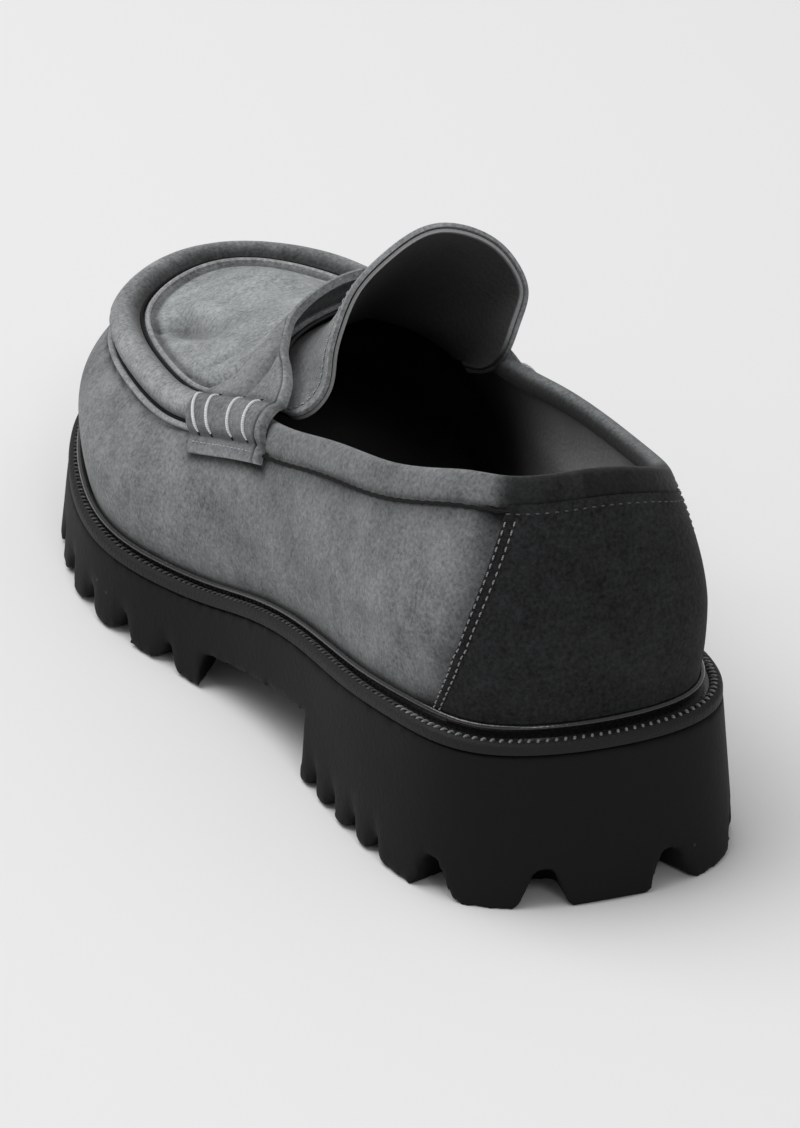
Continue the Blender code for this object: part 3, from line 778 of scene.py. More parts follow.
# Creases that the upper and the strap share, as troughs with soft ridges beside them.
# Each has a route in k and angle, a width in mm, and the depth in mm at its start, middle and end.
creases = (
    (((8.14, 0.515), (8.18, 0.555), (7.76, 0.605), (7.05, 0.66)), 4.2, (1.4, 3.1, 1.1)),
    (((8.60, 0.62), (8.10, 0.66), (7.50, 0.70)), 5.0, (-0.2, -0.9, -0.2)),
    (((7.95, 0.70), (7.2, 0.76), (6.7, 0.82)), 5.0, (0.1, 0.5, 0.1)),
    (((6.42, 0.46), (6.30, 0.54), (6.15, 0.62), (6.25, 0.70)), 3.0, (1.0, 1.5, 0.4)),
    (((5.82, 0.455), (5.66, 0.53), (5.60, 0.61), (5.78, 0.70)), 3.0, (1.5, 2.5, 0.4)),
    (((5.14, 0.455), (5.08, 0.52), (5.16, 0.59), (5.36, 0.66)), 2.6, (1.1, 1.9, 0.4)),
    (((14.18, 0.455), (14.34, 0.53), (14.40, 0.61), (14.22, 0.70)), 3.0, (0.9, 1.3, 0.2)),
    (((14.86, 0.455), (14.92, 0.52), (14.84, 0.59), (14.64, 0.66)), 2.6, (0.6, 1.0, 0.2)),
    (((11.9, 0.53), (12.4, 0.59), (12.9, 0.65)), 4.2, (0.8, 0.9, 0.1)),
    (((5.25, 0.19), (4.9, 0.04), (4.5, -0.22)), 6.0, (0.2, 0.7, 0.1)),
    (((4.5, 0.21), (4.15, 0.10), (3.7, -0.10)), 6.0, (0.5, 0.7, 0.1)),
    (((3.7, 0.28), (3.3, 0.18), (2.9, -0.05)), 8.0, (0.2, 0.6, 0.1)),
    (((6.6, 0.28), (6.3, 0.10), (6.2, -0.20)), 7.0, (0.3, 0.6, 0.1)),
    (((15.4, 0.18), (15.9, 0.08), (16.5, -0.15)), 6.0, (0.5, 0.7, 0.1)),
    (((16.3, 0.27), (16.8, 0.16), (17.2, -0.10)), 7.0, (0.2, 0.6, 0.1)),
    (((13.4, 0.28), (13.7, 0.10), (13.8, -0.20)), 7.0, (0.3, 0.6, 0.1)),
    (((19.95, 0.13), (19.75, 0.02), (19.5, -0.10)), 3.5, (0.1, 0.7, 0.1)),
    (((0.9, 0.30), (0.4, 0.24), (19.8, 0.27)), 7.0, (0.1, 0.6, 0.1)),
)


def creaseForms(points):        # lift in mm and how deep in a trough each point lies
    lift = np.zeros(len(points))
    trough = np.zeros(len(points))
    for route, width, depths in creases:
        route = np.array(route, float)
        route[:, 0] += np.where(route[:, 0] - route[0, 0] > toe, -lap, 0)
        t = np.linspace(0, 1, 60)
        line = smoothCurve(np.linspace(0, 1, len(route)), route, "free")(t)
        path = rib(line[:, 0], line[:, 1])
        low = path.min(0) - 4 * width
        high = path.max(0) + 4 * width
        near = np.flatnonzero(np.all((points > low) & (points < high), axis=1))
        gaps = np.linalg.norm(points[near][:, None] - path[None], axis=2)
        nearest = gaps.argmin(axis=1)
        gap = gaps[np.arange(len(near)), nearest]
        depth = np.interp(t[nearest], (0, 0.5, 1), depths)
        lift[near] += depth * (0.4 * bell(gap - 1.8 * width, width) - bell(gap, width))
        trough[near] += depth * bell(gap, width * 0.8)
    return lift, trough


# Upper: vamp, apron and quarters on the last
upper = {
    "step": 0.05, "wallRows": 64, "vampRows": 46, "suede": 1.2,
    "wallPower": 1.5, "vampPower": 1.3,     # rows lie closer near the roll
    "rimDrop": 1.2,         # the collar band covers the cut edge
    "grooveDepth": 0.9, "grooveFade": (5.2, 5.6),       # seams on both sides of the moc roll
    "grooves": ((1.0, 0.4, 0.8), (0.6, 3.3, 0.7)),      # share of the depth, mm from the roll, and width
    "creaseFade": (0.3, 3.5),                           # creases die out this close to the roll
    "apronSink": 3.4,       # the apron lies this much lower inside the front of the roll
    "sinkAlong": (6.2, 7.6), "sinkStart": (-1.0, 6.0), "sinkEnd": (9, 30),
    # painted shade: how dark the suede gets by each edge, and over how many mm
    "bandShade": (0.4, 3.5), "counterShade": (0.5, 7.0), "rollShade": (0.7, 2.0), "tabShade": (0.85, 2.2),
    "quarterShade": (0.20, 15.0),       # painted shade: the quarters darken towards the collar
    # painted shade near the welt and by the piping: how dark, at how many mm, and over how many
    "weltShade": (0.55, 3.0, 5.0), "pipingShade": (0.7, 3.3, 0.8),
    "bandEnd": 4.9, "quarterEnd": (4.2, 5.4), "rollFade": (5.2, 5.5), "tabTop": 0.45,
    "troughShade": 0.27, "apron": -0.50, "apronFade": (5.5, 9),     # painted shade in crease troughs; painted light makes the apron paler, as if lit from above
}
lining = {
    "step": 0.1, "wallRows": 30, "vampRows": 18, "foot": -0.97, "rimDrop": 2.5,
    "slack": 0.25,          # between suede and lining
    "light": 11.0,          # painted light on the inner side's lining, where light falls in
    "lightStart": (14.8, 16.6), "lightEnd": (18.4, 19.8), "lightTop": (0.1, 0.5), "topLoss": 0.75,
}
counter = {
    # angle, then the stations of its outer and inner sides
    "edge": (
        (-1.0, 2.11, 2.98), (-0.76, 2.02, 2.84), (-0.45, 1.88, 2.64), (-0.17, 1.76, 2.52), (0.04, 1.64, 2.44),
        (0.13, 1.52, 2.38), (0.25, 1.32, 2.28), (0.38, 1.10, 2.18), (0.45, 0.98, 2.13)),
    "foot": -0.93, "climb": 1.36, "underBand": 1.5, "proud": 0.8, "columns": 141, "rows": 60,
    "edgeRadius": 0.8, "groove": (0.25, 0.55), "sunk": 0.4, "edgeShade": (0.35, 2.5), "troughShade": 0.2,
    "seamInset": 0.9, "rowGap": 2.2, "pitch": 2.1, "sewn": (-0.86, 0.365),
    "stitch": {"length": 1.35, "radius": 0.21, "rise": 0.3, "sink": 0.05},
}
counterTable = np.array(counter["edge"])
counterCurve = smoothCurve(counterTable[:, 0], counterTable[:, 1:], "free")
# station, then the angle at which the moc roll runs
rollPath = ((5, 0.376), (6, 0.405), (7, 0.421), (8, 0.403), (9, 0.381), (10, 0.353))
rollCurve = smoothCurve(*np.array(rollPath).T, "free")
rollWidth = 8.0
bandWidth = 8.8


def counterEdge(angle, outer):
    stations = counterCurve(np.clip(angle, counterTable[0, 0], counterTable[-1, 0]))
    return np.where(outer, stations[..., 0], stations[..., 1])


def rollDistance(k, angle):     # mm from the middle of the moc roll, up the last
    middle = rollCurve(np.clip(station(k), 4.4, toe))[..., 0]
    return (angle - middle) * climbSize(k, middle)


def apronSink(k, away):
    inside = away - rollWidth / 2
    dip = ease(*upper["sinkStart"], inside) * (1 - ease(*upper["sinkEnd"], inside))
    return upper["apronSink"] * ease(*upper["sinkAlong"], station(k)) * dip


def darken(name, distance):
    strength, width = upper[name]
    return strength * bell(np.maximum(distance, 0), width)


def darkenAt(name, distance):
    strength, middle, width = upper[name]
    return strength * bell(distance - middle, width)


# Painted shade by the welt, collar band, counter, moc roll and tab and in crease troughs; painted light makes
# the apron paler
def upperShade(k, angle, trough):
    along = station(k)
    climb = climbSize(k, angle)
    size = roundSize(k, angle)
    points = rib(k, angle)
    shade = darkenAt("weltShade", points[..., 2] - seat(points[..., 0]))
    belowBand = (belowCollar(k, bandWidth) - angle) * climb
    shade = shade + np.where(along < upper["bandEnd"], darken("bandShade", belowBand), 0)
    shade = shade + darken("quarterShade", belowBand) * (1 - ease(*upper["quarterEnd"], along))
    fromCounter = (along - counterEdge(angle, onOuterSide(k))) * size
    shade = shade + np.where(along < last["throat"], darken("counterShade", fromCounter), 0)
    away = rollDistance(k, angle)
    fromRoll = np.abs(away) - rollWidth / 2
    byRoll = darken("rollShade", fromRoll) + darkenAt("pipingShade", fromRoll)
    apron = upper["apron"] * ease(*upper["apronFade"], away)
    shade = shade + ease(*upper["rollFade"], along) * (byRoll + apron)
    side = np.minimum(angle, strap["angle"][3])
    fromTab = np.maximum(along - strapFront(side)[..., 0], strapRear(side)[..., 0] - along) * size
    fromTab = np.maximum(fromTab, (strap["angle"][0] - angle) * climb)
    shade = shade + np.where(angle < upper["tabTop"], darken("tabShade", fromTab), 0)
    return shade + upper["troughShade"] * trough


def upperLift(k, angle):
    lift, trough = creaseForms(rib(k, angle))
    away = rollDistance(k, angle)
    fromRoll = np.abs(away) - rollWidth / 2
    byRoll = ease(*upper["grooveFade"], station(k))
    lift = lift * (1 - byRoll * (1 - ease(*upper["creaseFade"], fromRoll)))
    groove = sum(share * bell(fromRoll - middle, width) for share, middle, width in upper["grooves"])
    return lift - byRoll * upper["grooveDepth"] * groove - apronSink(k, away), trough


def upperGrid(step, foot, drop, wallRows, vampRows):        # k, angle and faces of a skin on the last
    k = np.arange(0, lap, step)
    top = belowCollar(k, drop * ease(0, 0.4, last["throat"] - station(k)))
    wallAngle = foot + (top - foot)[None] * wallRows[:, None]
    wallK = np.broadcast_to(k, wallAngle.shape)
    front = np.arange(last["throat"], lap - last["throat"] + step / 2, step)
    frontTop = belowCollar(front, 0)
    vampAngle = frontTop[None] + (1 - frontTop)[None] * vampRows[:, None]
    vampK = vampStation(front, vampAngle)
    vampK[0] = front
    faces = np.vstack([gridFaces(*wallK.shape, ring=True), gridFaces(*vampK.shape) + wallK.size])
    onWall = np.repeat((1, 0), (wallK.size, vampK.size))
    return np.append(wallK, vampK), np.append(wallAngle, vampAngle), faces.tolist(), onWall


def makeUpper():
    wallRows = 1 - (1 - np.linspace(0, 1, upper["wallRows"])) ** upper["wallPower"]
    vampRows = np.linspace(0, 1, upper["vampRows"]) ** upper["vampPower"]
    k, angle, faces, _ = upperGrid(upper["step"], -1, upper["rimDrop"], wallRows, vampRows)
    lift, trough = upperLift(k, angle)
    points = skin(k, angle, lift)
    points[angle == -1, 2] += last["gap"]
    piece = addPiece("upper_suede", points, faces, greySuede, ["upper"],
                     upperShade(k, angle, trough), weld=0.12, keepWinding=True)
    thicken(piece, upper["suede"])


def makeLining():
    rows = [np.linspace(0, 1, lining[name]) for name in ("wallRows", "vampRows")]
    k, angle, faces, onWall = upperGrid(lining["step"], lining["foot"], lining["rimDrop"], *rows)
    deep = -(upper["suede"] + lining["slack"])
    points = skin(k, angle, deep + np.minimum(upperLift(k, angle)[0], 0))
    # painted light on the lining of the inner quarter
    lit = ease(*lining["lightStart"], k) * (1 - ease(*lining["lightEnd"], k))
    lit = lit * (1 - lining["topLoss"] * ease(*lining["lightTop"], angle))
    piece = addPiece("upper_lining", points, faces, blackLining,
                     shade=-lining["light"] * lit * onWall, weld=0.3, keepWinding=True)
    thicken(piece, last["wall"] - upper["suede"] - lining["slack"])


# Heel counter: a dark panel with two rows of stitches down each side
def makeCounter():
    rows = np.linspace(0, 1, counter["rows"])[:, None]
    across = np.sin(np.linspace(-1, 1, counter["columns"]) * math.pi / 2)[None]
    angle = np.broadcast_to(counter["foot"] + rows * counter["climb"], (counter["rows"], counter["columns"]))
    for _ in range(3):      # the top follows the collar seam
        half = counterEdge(angle, across >= 0)
        k = half * across
        top = belowCollar(k, bandWidth - counter["underBand"])
        angle = counter["foot"] + (top - counter["foot"]) * rows
    inset = (1 - np.abs(across)) * half * roundSize(k, angle)
    rounded = 1 - (1 - np.clip(inset / counter["edgeRadius"], 0, 1)) ** 2
    lift, trough = (part.reshape(k.shape) for part in creaseForms(rib(k, angle).reshape(-1, 3)))
    seams = counter["seamInset"] + np.array((0, counter["rowGap"]))
    depth, width = counter["groove"]
    groove = sum(bell(inset - seam, width) for seam in seams) * depth
    outer = skin(k, angle, lift + counter["proud"] * rounded - groove)
    points, faces = closedShell(outer, skin(k, angle, lift - counter["sunk"]))
    # darker at its rounded edge, with painted shade in crease troughs
    strength, width = counter["edgeShade"]
    shade = strength * bell(inset, width) + counter["troughShade"] * trough
    addPiece("heel_counter", points, faces, darkSuede, shade=np.tile(shade.ravel(), 2))
    stitchRows = []
    for sign in (1, -1):
        for seam in seams:
            line = np.linspace(*counter["sewn"], 160)
            edgeK = counterEdge(line, sign > 0)
            k = sign * (edgeK - seam / roundSize(edgeK, line))
            path = skin(k, line, counter["proud"])
            stitchRows.append(stitchRow(path, skinNormal(k, line), counter["pitch"]))
    sew("counter_stitches", stitchRows, counter["stitch"], greyThread)


# Collar band: a padded binding folded over the collar, dark round the heel
band = {
    "end": 4.95, "step": 0.03, "rim": 1.9, "puff": 1.2, "padding": 1.4, "inside": 6.5, "buried": 0.35,
    "crown": 0.85, "scallop": 0.25, "scallopPitch": 4.0, "hemDepth": 0.15, "tuck": (0.5, 0.6),
    "outsideRows": 14, "crownRows": 11, "insideRows": 9,
    "ripples": ((0.06, 2.3, 0.0), (0.05, 3.7, 1.0)),    # size, length in mm, and start
    "darkEdges": (1.14, 2.10), "darkness": 0.87,        # stations on the outer and inner sides
    "darkFade": (-0.16, 0.26), "wave": 0.03, "waves": 9,
    "tones": (0.20, 0.45),                              # shade of the outer and inner sides
    "rowTones": ((0.4, 0, 2.2), (-0.22, 18, 2.6)),      # shade, middle row and spread: painted shade along the seam, and a paler crown
    "linedRows": (18.5, 23.0), "linedTone": 0.86,
    "seamBelow": 0.45, "seamLift": 0.4, "seamEnd": 4.75, "seamRadius": 0.5,
    "stitchBelow": 0.9, "stitchLift": 0.6, "heelPitch": 2.3,
    "stitch": {"length": 1.3, "radius": 0.22, "rise": 0.3, "sink": 0.0},
}


def makeBand():
    k = np.arange(-band["end"], band["end"] + band["step"] / 2, band["step"])
    rim = belowCollar(k, band["rim"])
    run = runLength(rib(k, rim))
    scallop = band["scallop"] * np.abs(np.sin(run * math.pi / band["scallopPitch"]))
    low = belowCollar(k, bandWidth - scallop)
    v = np.linspace(0, 1, band["outsideRows"])
    ripple = sum((size * np.sin(run / length + start) for size, length, start in band["ripples"]), 1)
    rise = -band["buried"] + (band["puff"] + band["buried"]) * (1 - (1 - v) ** 3)
    outside = skin(k[:, None], low[:, None] + (rim - low)[:, None] * v, rise * ripple[:, None])
    normal = skinNormal(k, rim)
    up = unit(rib(k, rim + nudge) - rib(k, rim - nudge))
    back = -(last["wall"] + band["padding"])
    middle = (band["puff"] + back) / 2
    radius = (band["puff"] - back) / 2
    turn = np.radians(np.linspace(0, 180, band["crownRows"] + 2)[1:-1])
    crown = rib(k, rim)[:, None] + normal[:, None] * (middle + radius * np.cos(turn))[None, :, None]
    crown = crown + up[:, None] * (radius * band["crown"] * np.sin(turn))[None, :, None]
    hem = belowCollar(k, band["inside"])
    v = np.linspace(0, 1, band["insideRows"])
    dip = back + (band["padding"] - band["hemDepth"]) * v ** 3
    inside = skin(k[:, None], rim[:, None] + (hem - rim)[:, None] * v, dip)
    tuck = np.array((-last["wall"] + band["tuck"][0], -band["tuck"][1]))
    under = skin(k[:, None], np.stack([hem, low], 1), tuck[None])
    sections = np.concatenate([outside, crown, inside, under], axis=1)
    row = np.arange(sections.shape[1])          # from the seam over the crown to the inside
    darkEdge = np.where(k >= 0, *band["darkEdges"])
    past = np.abs(k) - darkEdge + band["wave"] * np.sin(k * band["waves"])
    dark = band["darkness"] * (1 - ease(*band["darkFade"], past))
    tone = np.where(k >= 0, *band["tones"])[:, None]
    for strength, middle, width in band["rowTones"]:
        tone = tone + strength * bell(row - middle, width)
    lined = band["linedTone"] * ease(*band["linedRows"], row)
    shade = 1 - (1 - dark[:, None]) * (1 - tone) * (1 - lined[None])
    faces = ringFaces(*sections.shape[:2])
    piece = addPiece("collar_band", sections, faces, greySuede, shade=shade)
    ups = skinNormal(k, low)
    # a black cord along the seam under the band: painted shade in its groove
    path = skin(k, belowCollar(k, bandWidth + band["seamBelow"] - scallop), band["seamLift"])
    keep = np.abs(k) < band["seamEnd"]
    layCord("collar_seam", path[keep], ups[keep], band["seamRadius"], shadeCord, squeeze=0.5)
    path = skin(k, belowCollar(k, bandWidth + band["stitchBelow"]), band["stitchLift"])
    keep = (k < band["darkEdges"][0]) & (k > -band["darkEdges"][1])
    stitches = stitchRow(path[keep], ups[keep], band["heelPitch"])
    sew("heel_seam_stitches", [stitches], band["stitch"], dimThread)


# Vamp seam on the inner side, from the strap's tab down to the welt
sideSeam = {"top": (15.50, 0.20), "foot": -0.88, "lean": 0.55, "radius": 0.5}


def makeSideSeam():
    topK, topAngle = sideSeam["top"]
    angle = np.linspace(topAngle, sideSeam["foot"], 80)
    height = rib(np.full(80, topK), angle)[:, 2]
    k = topK + sideSeam["lean"] * ((height[0] - height) / (height[0] - height[-1])) ** 1.2
    path = skin(k, angle, creaseForms(rib(k, angle))[0] + 0.05)
    # a black cord half sunk in the seam: painted shadow where the vamp laps over the quarter
    layCord("side_seam", path, skinNormal(k, angle), sideSeam["radius"], shadeCord, squeeze=0.6)


# Moc roll: a padded seam round the apron, with a ridge outside it and piping inside it
roll = {
    "start": 5.10, "step": 0.03, "height": 4.5, "toeHeight": 1.2, "rounding": 0.75, "pucker": 0.16,
    "toeRise": (6.5, 9), "sunk": 0.1, "swell": 0.03, "swellLength": 7.0,
    "gathers": ((0.9, 0.0), (1.43, 2.0), (2.6, 0.7)),       # length in mm, and start
    "under": (0.8, 0, -0.8), "underDepth": 0.5,             # shares of the half width
    # painted shade on the roll's feet, under it, on its inner face and towards the toe
    "footShade": 0.6, "underShade": 0.3, "innerShade": 0.12, "toeShade": 0.14, "toeDark": (6.5, 9.5),
    "cordLift": 0.05, "seamAway": 0.35, "seamLift": 0.1, "seamRadius": 0.45,
    "seamStart": 5.42, "ridgeAway": 1.8, "ridgeRadius": 0.85, "pipingAway": 1.7, "pipingRadius": 0.75,
}


def makeRoll():
    k = np.arange(roll["start"], lap - roll["start"] + roll["step"] / 2, roll["step"])
    middle = rollCurve(station(k))[:, 0]
    half = rollWidth / 2 / climbSize(k, middle)
    run = runLength(rib(k, middle))
    turn = np.linspace(0, math.pi, 19)
    tall = roll["height"] + roll["toeHeight"] * ease(*roll["toeRise"], station(k))
    gathers = sum(np.sin(run / length + start) for length, start in roll["gathers"])
    feet = np.abs(np.cos(turn)) ** 3 * np.sin(turn) ** 0.3
    lift = tall[:, None] * np.sin(turn) ** roll["rounding"] - roll["sunk"]
    lift = lift + roll["pucker"] * gathers[:, None] * feet[None]
    lift = lift * (1 + roll["swell"] * np.sin(run / roll["swellLength"]))[:, None]
    crown = skin(k[:, None], middle[:, None] - half[:, None] * np.cos(turn), lift)
    under = skin(k[:, None], middle[:, None] + half[:, None] * np.array(roll["under"]), -roll["underDepth"])
    sections = np.concatenate([crown, under], axis=1)
    # painted shade at the feet, underneath, on the inner face and towards the toe
    feet = roll["footShade"] * np.abs(np.cos(turn)) ** 4
    feet = feet + roll["innerShade"] * ease(-0.1, 0.9, -np.cos(turn))
    below = np.full(len(roll["under"]), roll["underShade"])
    shade = np.tile(np.concatenate([feet, below]), (len(k), 1))
    shade = shade + roll["toeShade"] * ease(*roll["toeDark"], k)[:, None]
    piece = addPiece("moc_roll_padded", sections, ringFaces(*sections.shape[:2]), rollSuede,
                     ["moc_roll"], shade)
    k = np.arange(roll["seamStart"], lap - roll["seamStart"], roll["step"])
    layBeside("roll_ridge", k, -rollWidth / 2 - roll["ridgeAway"], roll["ridgeRadius"])
    layBeside("roll_piping", k, rollWidth / 2 + roll["pipingAway"], roll["pipingRadius"])


def layBeside(name, k, away, radius):       # a cord beside the roll, and a black cord in the seam between them that stands for painted shade
    middle = rollCurve(station(k))[:, 0]
    angle = middle + away / climbSize(k, middle)
    path = skin(k, angle, roll["cordLift"] - apronSink(k, away))
    layCord(name, path, skinNormal(k, angle), radius, rollSuede)
    beside = math.copysign(rollWidth / 2 + roll["seamAway"], away)
    angle = middle + beside / climbSize(k, middle)
    path = skin(k, angle, roll["seamLift"] - apronSink(k, beside))
    layCord(name + "_seam", path, skinNormal(k, angle), roll["seamRadius"], shadeCord)


# Strap: a saddle over the instep that runs into the apron, with a stitched tab over the roll on each side
strap = {
    "angle": (0.25, 0.34, 0.43, 0.51, 0.60, 0.70, 0.82, 1.00),
    "rear": (4.60, 4.62, 4.65, 4.75, 5.04, 5.38, 5.62, 5.68),
    "front": (5.40, 5.50, 5.66, 5.80, 5.93, 6.05, 6.17, 6.25),
    "thickness": 1.8, "rows": 100,
    "humpAngle": 0.37, "humpHalf": 0.066, "hump": 3.3,
    "rearLift": 5.0, "rearRise": (0.45, 0.92),
    "apronFrom": (0.42, 0.52), "melt": (0.30, 0.98), "meltDepth": 0.5,      # its front runs into the apron
    "hem": ((0.2, 1.0, 0.8), (-0.45, 2.3, 0.45), (-0.6, 0, 0.4)),       # lift, mm from the rear edge, width
    "cut": (0.6, 0.5), "seamDip": (0.35, 0.8), "seamShade": (0.45, 1.0), "tabShade": 0.12,
    "stitches": ((5.33, 5.63), (5.18, 5.40), (4.94, 5.07), (4.76, 4.85)),       # k at the foot and the top
    "stitchAngles": (0.308, 0.432), "stitchCurve": 1.5,
    "thread": 0.44, "hole": {"length": 1.9, "radius": 0.75, "rise": 0.1, "sink": 0.35},
    "hemInset": 2.6, "hemPitch": 1.9, "hemStitch": {"length": 1.2, "radius": 0.2, "rise": 0.25, "sink": 0.05},
}
strapRear = smoothCurve(strap["angle"], strap["rear"], "free")
strapFront = smoothCurve(strap["angle"], strap["front"], "free")


def strapStation(angle, across):
    rear = strapRear(angle)[..., 0]
    return rear + (strapFront(angle)[..., 0] - rear) * across


def strapLift(angle, across, k):
    overApron = ease(*strap["apronFrom"], angle)
    width = (strapFront(angle)[..., 0] - strapRear(angle)[..., 0]) * roundSize(k, angle)
    fromRear = across * width
    fromFront = (1 - across) * width
    fromFoot = (angle - strap["angle"][0]) * climbSize(k, angle)
    melt = ease(*strap["melt"], across) * overApron
    lift = (last["gap"] + strap["thickness"]) * (1 - melt) - strap["meltDepth"] * melt
    arch = np.clip(1 - ((angle - strap["humpAngle"]) / strap["humpHalf"]) ** 2, 0, 1) ** 0.8
    lift = lift + strap["hump"] * arch * (0.72 + 0.28 * ease(0, 0.2, across))
    lift = lift + strap["rearLift"] * ease(*strap["rearRise"], angle) * (1 - across) ** 1.5
    hem = sum(rise * bell(fromRear - middle, spread) for rise, middle, spread in strap["hem"])
    depth, spread = strap["cut"]
    cut = depth * bell(fromFront, spread) * (1 - overApron) + depth * bell(fromFoot, spread)
    depth, spread = strap["seamDip"]
    for seam in strap["stitchAngles"]:
        cut = cut + depth * bell((angle - seam) * climbSize(k, angle), spread)
    return lift + hem - cut, fromRear, fromFront, fromFoot, overApron


def makeStrap():
    climb = np.linspace(strap["angle"][0], 1, strap["rows"])
    across = np.concatenate([       # finer along both edges
        np.linspace(0, 0.14, 16), np.linspace(0.14, 0.94, 34)[1:], np.linspace(0.94, 1, 6)[1:]])
    angle = np.concatenate([climb, climb[-2::-1]])[:, None]
    inner = np.arange(len(angle))[:, None] >= len(climb)
    angle, across, inner = np.broadcast_arrays(angle, across[None], inner)
    k = strapStation(angle, across)
    lift, fromRear, fromFront, fromFoot, overApron = strapLift(angle, across, k)
    k = np.where(inner, lap - k, k)
    fold, trough = (part.reshape(k.shape) for part in creaseForms(rib(k, angle).reshape(-1, 3)))
    outer = skin(k, angle, lift + fold)
    under = skin(k, angle, np.maximum(lift + fold - strap["thickness"], -0.8) - 0.2)
    points, faces = closedShell(outer, under)
    # The raw edges are paler; painted shade in the hem's groove and along the stitched seams; paler on the
    # hem's ridge; the tab darker; painted light over the apron
    rawEdge = bell(fromFoot, 0.9) + 0.5 * (1 - overApron) * bell(fromFront, 0.7)
    shade = upper["troughShade"] * trough - 0.5 * rawEdge - 0.2 * bell(fromRear - 0.8, 0.8)
    shade = shade + 0.6 * bell(fromRear - 2.3, 0.6)
    strength, spread = strap["seamShade"]
    for seam in strap["stitchAngles"]:
        shade = shade + strength * bell((angle - seam) * climbSize(k, angle), spread)
    shade = shade + strap["tabShade"] * (1 - overApron) + upper["apron"] * overApron * ease(0.3, 1, across)
    addPiece("strap", points, faces, strapSuede, ["saddle"], np.tile(shade.ravel(), 2))
    makeTabStitches()


def makeTabStitches():
    threads, threadFaces, holes = [], [], []
    ends = [0, -1]
    for inner in (False, True):
        for foot, top in strap["stitches"]:
            angle = np.linspace(*strap["stitchAngles"], 22)
            k = foot + (top - foot) * np.linspace(0, 1, len(angle)) ** strap["stitchCurve"]
            rear = strapRear(angle)[..., 0]
            across = (k - rear) / (strapFront(angle)[..., 0] - rear)
            t = np.linspace(-1, 1, len(angle))
            lift = strapLift(angle, across, k)[0] + 0.35 - 1.2 * np.abs(t) ** 8
            k = np.where(inner, lap - k, k)
            path = skin(k, angle, lift)
            normal = skinNormal(k, angle)
            points, faces = tube(path, normal, strap["thread"])
            start = sum(len(part) for part in threads)
            threads.append(points)
            threadFaces += [[corner + start for corner in face] for face in faces]
            holes.append((path[ends] + normal[ends] * 0.55, np.gradient(path, axis=0)[ends], normal[ends]))
    addPiece("tab_stitches", np.vstack(threads), threadFaces, whiteThread)
    rows = []
    for inner in (False, True):     # a fine row along the foot of each tab
        across = np.linspace(0.08, 0.93, 60)
        angle = np.full(60, strap["angle"][0])
        angle = angle + strap["hemInset"] / climbSize(strapStation(angle, across), angle)
        k = strapStation(angle, across)
        lift = strapLift(angle, across, k)[0]
        k = np.where(inner, lap - k, k)
        rows.append(stitchRow(skin(k, angle, lift), skinNormal(k, angle), strap["hemPitch"]))
    sew("tab_hem_stitches", rows, strap["hemStitch"], paleThread)
    # black holes at the ends of the tab stitches: painted shade
    sew("tab_holes", holes, strap["hole"], shadeCord)


# Tongue: a suede flap lined with black leather, stitched round its edge
tongue = {
    # side, then x, y and z of the free edge from its inner end over the top to its outer end
    "edge": (
        (-1.00, 149.0, -22.5, 74.0), (-0.92, 141.0, -24.5, 77.0), (-0.82, 135.0, -27.5, 83.0),
        (-0.70, 133.5, -30.7, 92.2), (-0.58, 135.4, -33.8, 99.5), (-0.44, 137.4, -32.0, 107.6),
        (-0.28, 139.5, -25.3, 115.8), (-0.12, 140.7, -14.2, 120.8), (0.04, 140.5, -3.8, 120.0),
        (0.18, 139.3, 5.3, 115.3), (0.32, 137.5, 14.1, 108.2), (0.44, 135.5, 19.0, 100.0),
        (0.56, 133.5, 22.0, 92.0), (0.66, 131.8, 23.8, 85.0), (0.74, 131.0, 27.5, 81.0),
        (0.86, 136.5, 31.0, 77.0), (1.00, 147.0, 31.5, 73.5)),
    "rootSide": 5.4, "rootMiddle": 6.0, "outerRoot": 0.46, "innerRoot": 0.55, "curl": 1.25, "flare": 1.2,
    "suede": 1.5, "lining": 0.9, "rows": 56, "columns": 161,
    "edgeRound": (0.45, 1.2), "dent": (0.25, 0.7), "dentShade": (0.2, 0.9), "edgeShade": (-0.35, 0.9),
    "rootShade": 0.45, "rootFade": (0.25, 0.75),
    "innerShade": 0.97, "innerFade": (-0.84, -0.74),        # its inner end lies in the dark of the throat
    "liningInset": 0.5, "liningGap": 0.35, "liningEdge": -4.5, "liningFade": (-0.82, -0.70),
    "stitchPitch": 2.2, "stitchInset": 3.8, "stitchEnd": 0.93,
    "stitch": {"length": 1.4, "radius": 0.23, "rise": 0.15, "sink": 0.05},
}
tongueTable = np.array(tongue["edge"])
tongueEdge = smoothCurve(tongueTable[:, 0], tongueTable[:, 1:], "free")


def tongueRoot(side):
    end = np.where(side >= 0, tongue["outerRoot"], tongue["innerRoot"])
    k = tongue["rootMiddle"] + (tongue["rootSide"] - tongue["rootMiddle"]) * side ** 2
    deep = -(last["wall"] + 3 * last["gap"])
    crest = skin(np.array((tongue["rootMiddle"], lap - tongue["rootMiddle"])), np.ones(2), deep)
    half = (crest[1] - crest[0]) / 2
    shift = np.where((side >= 0)[..., None], half, -half)       # joins the two sides
    root = skin(np.where(side >= 0, k, lap - k), 1 - (1 - end) * np.abs(side), deep)
    return root + shift * (1 - ease(0, 0.3, np.abs(side)))[..., None]


def tongueLength(side):
    return np.linalg.norm(tongueEdge(side) - tongueRoot(side), axis=-1)


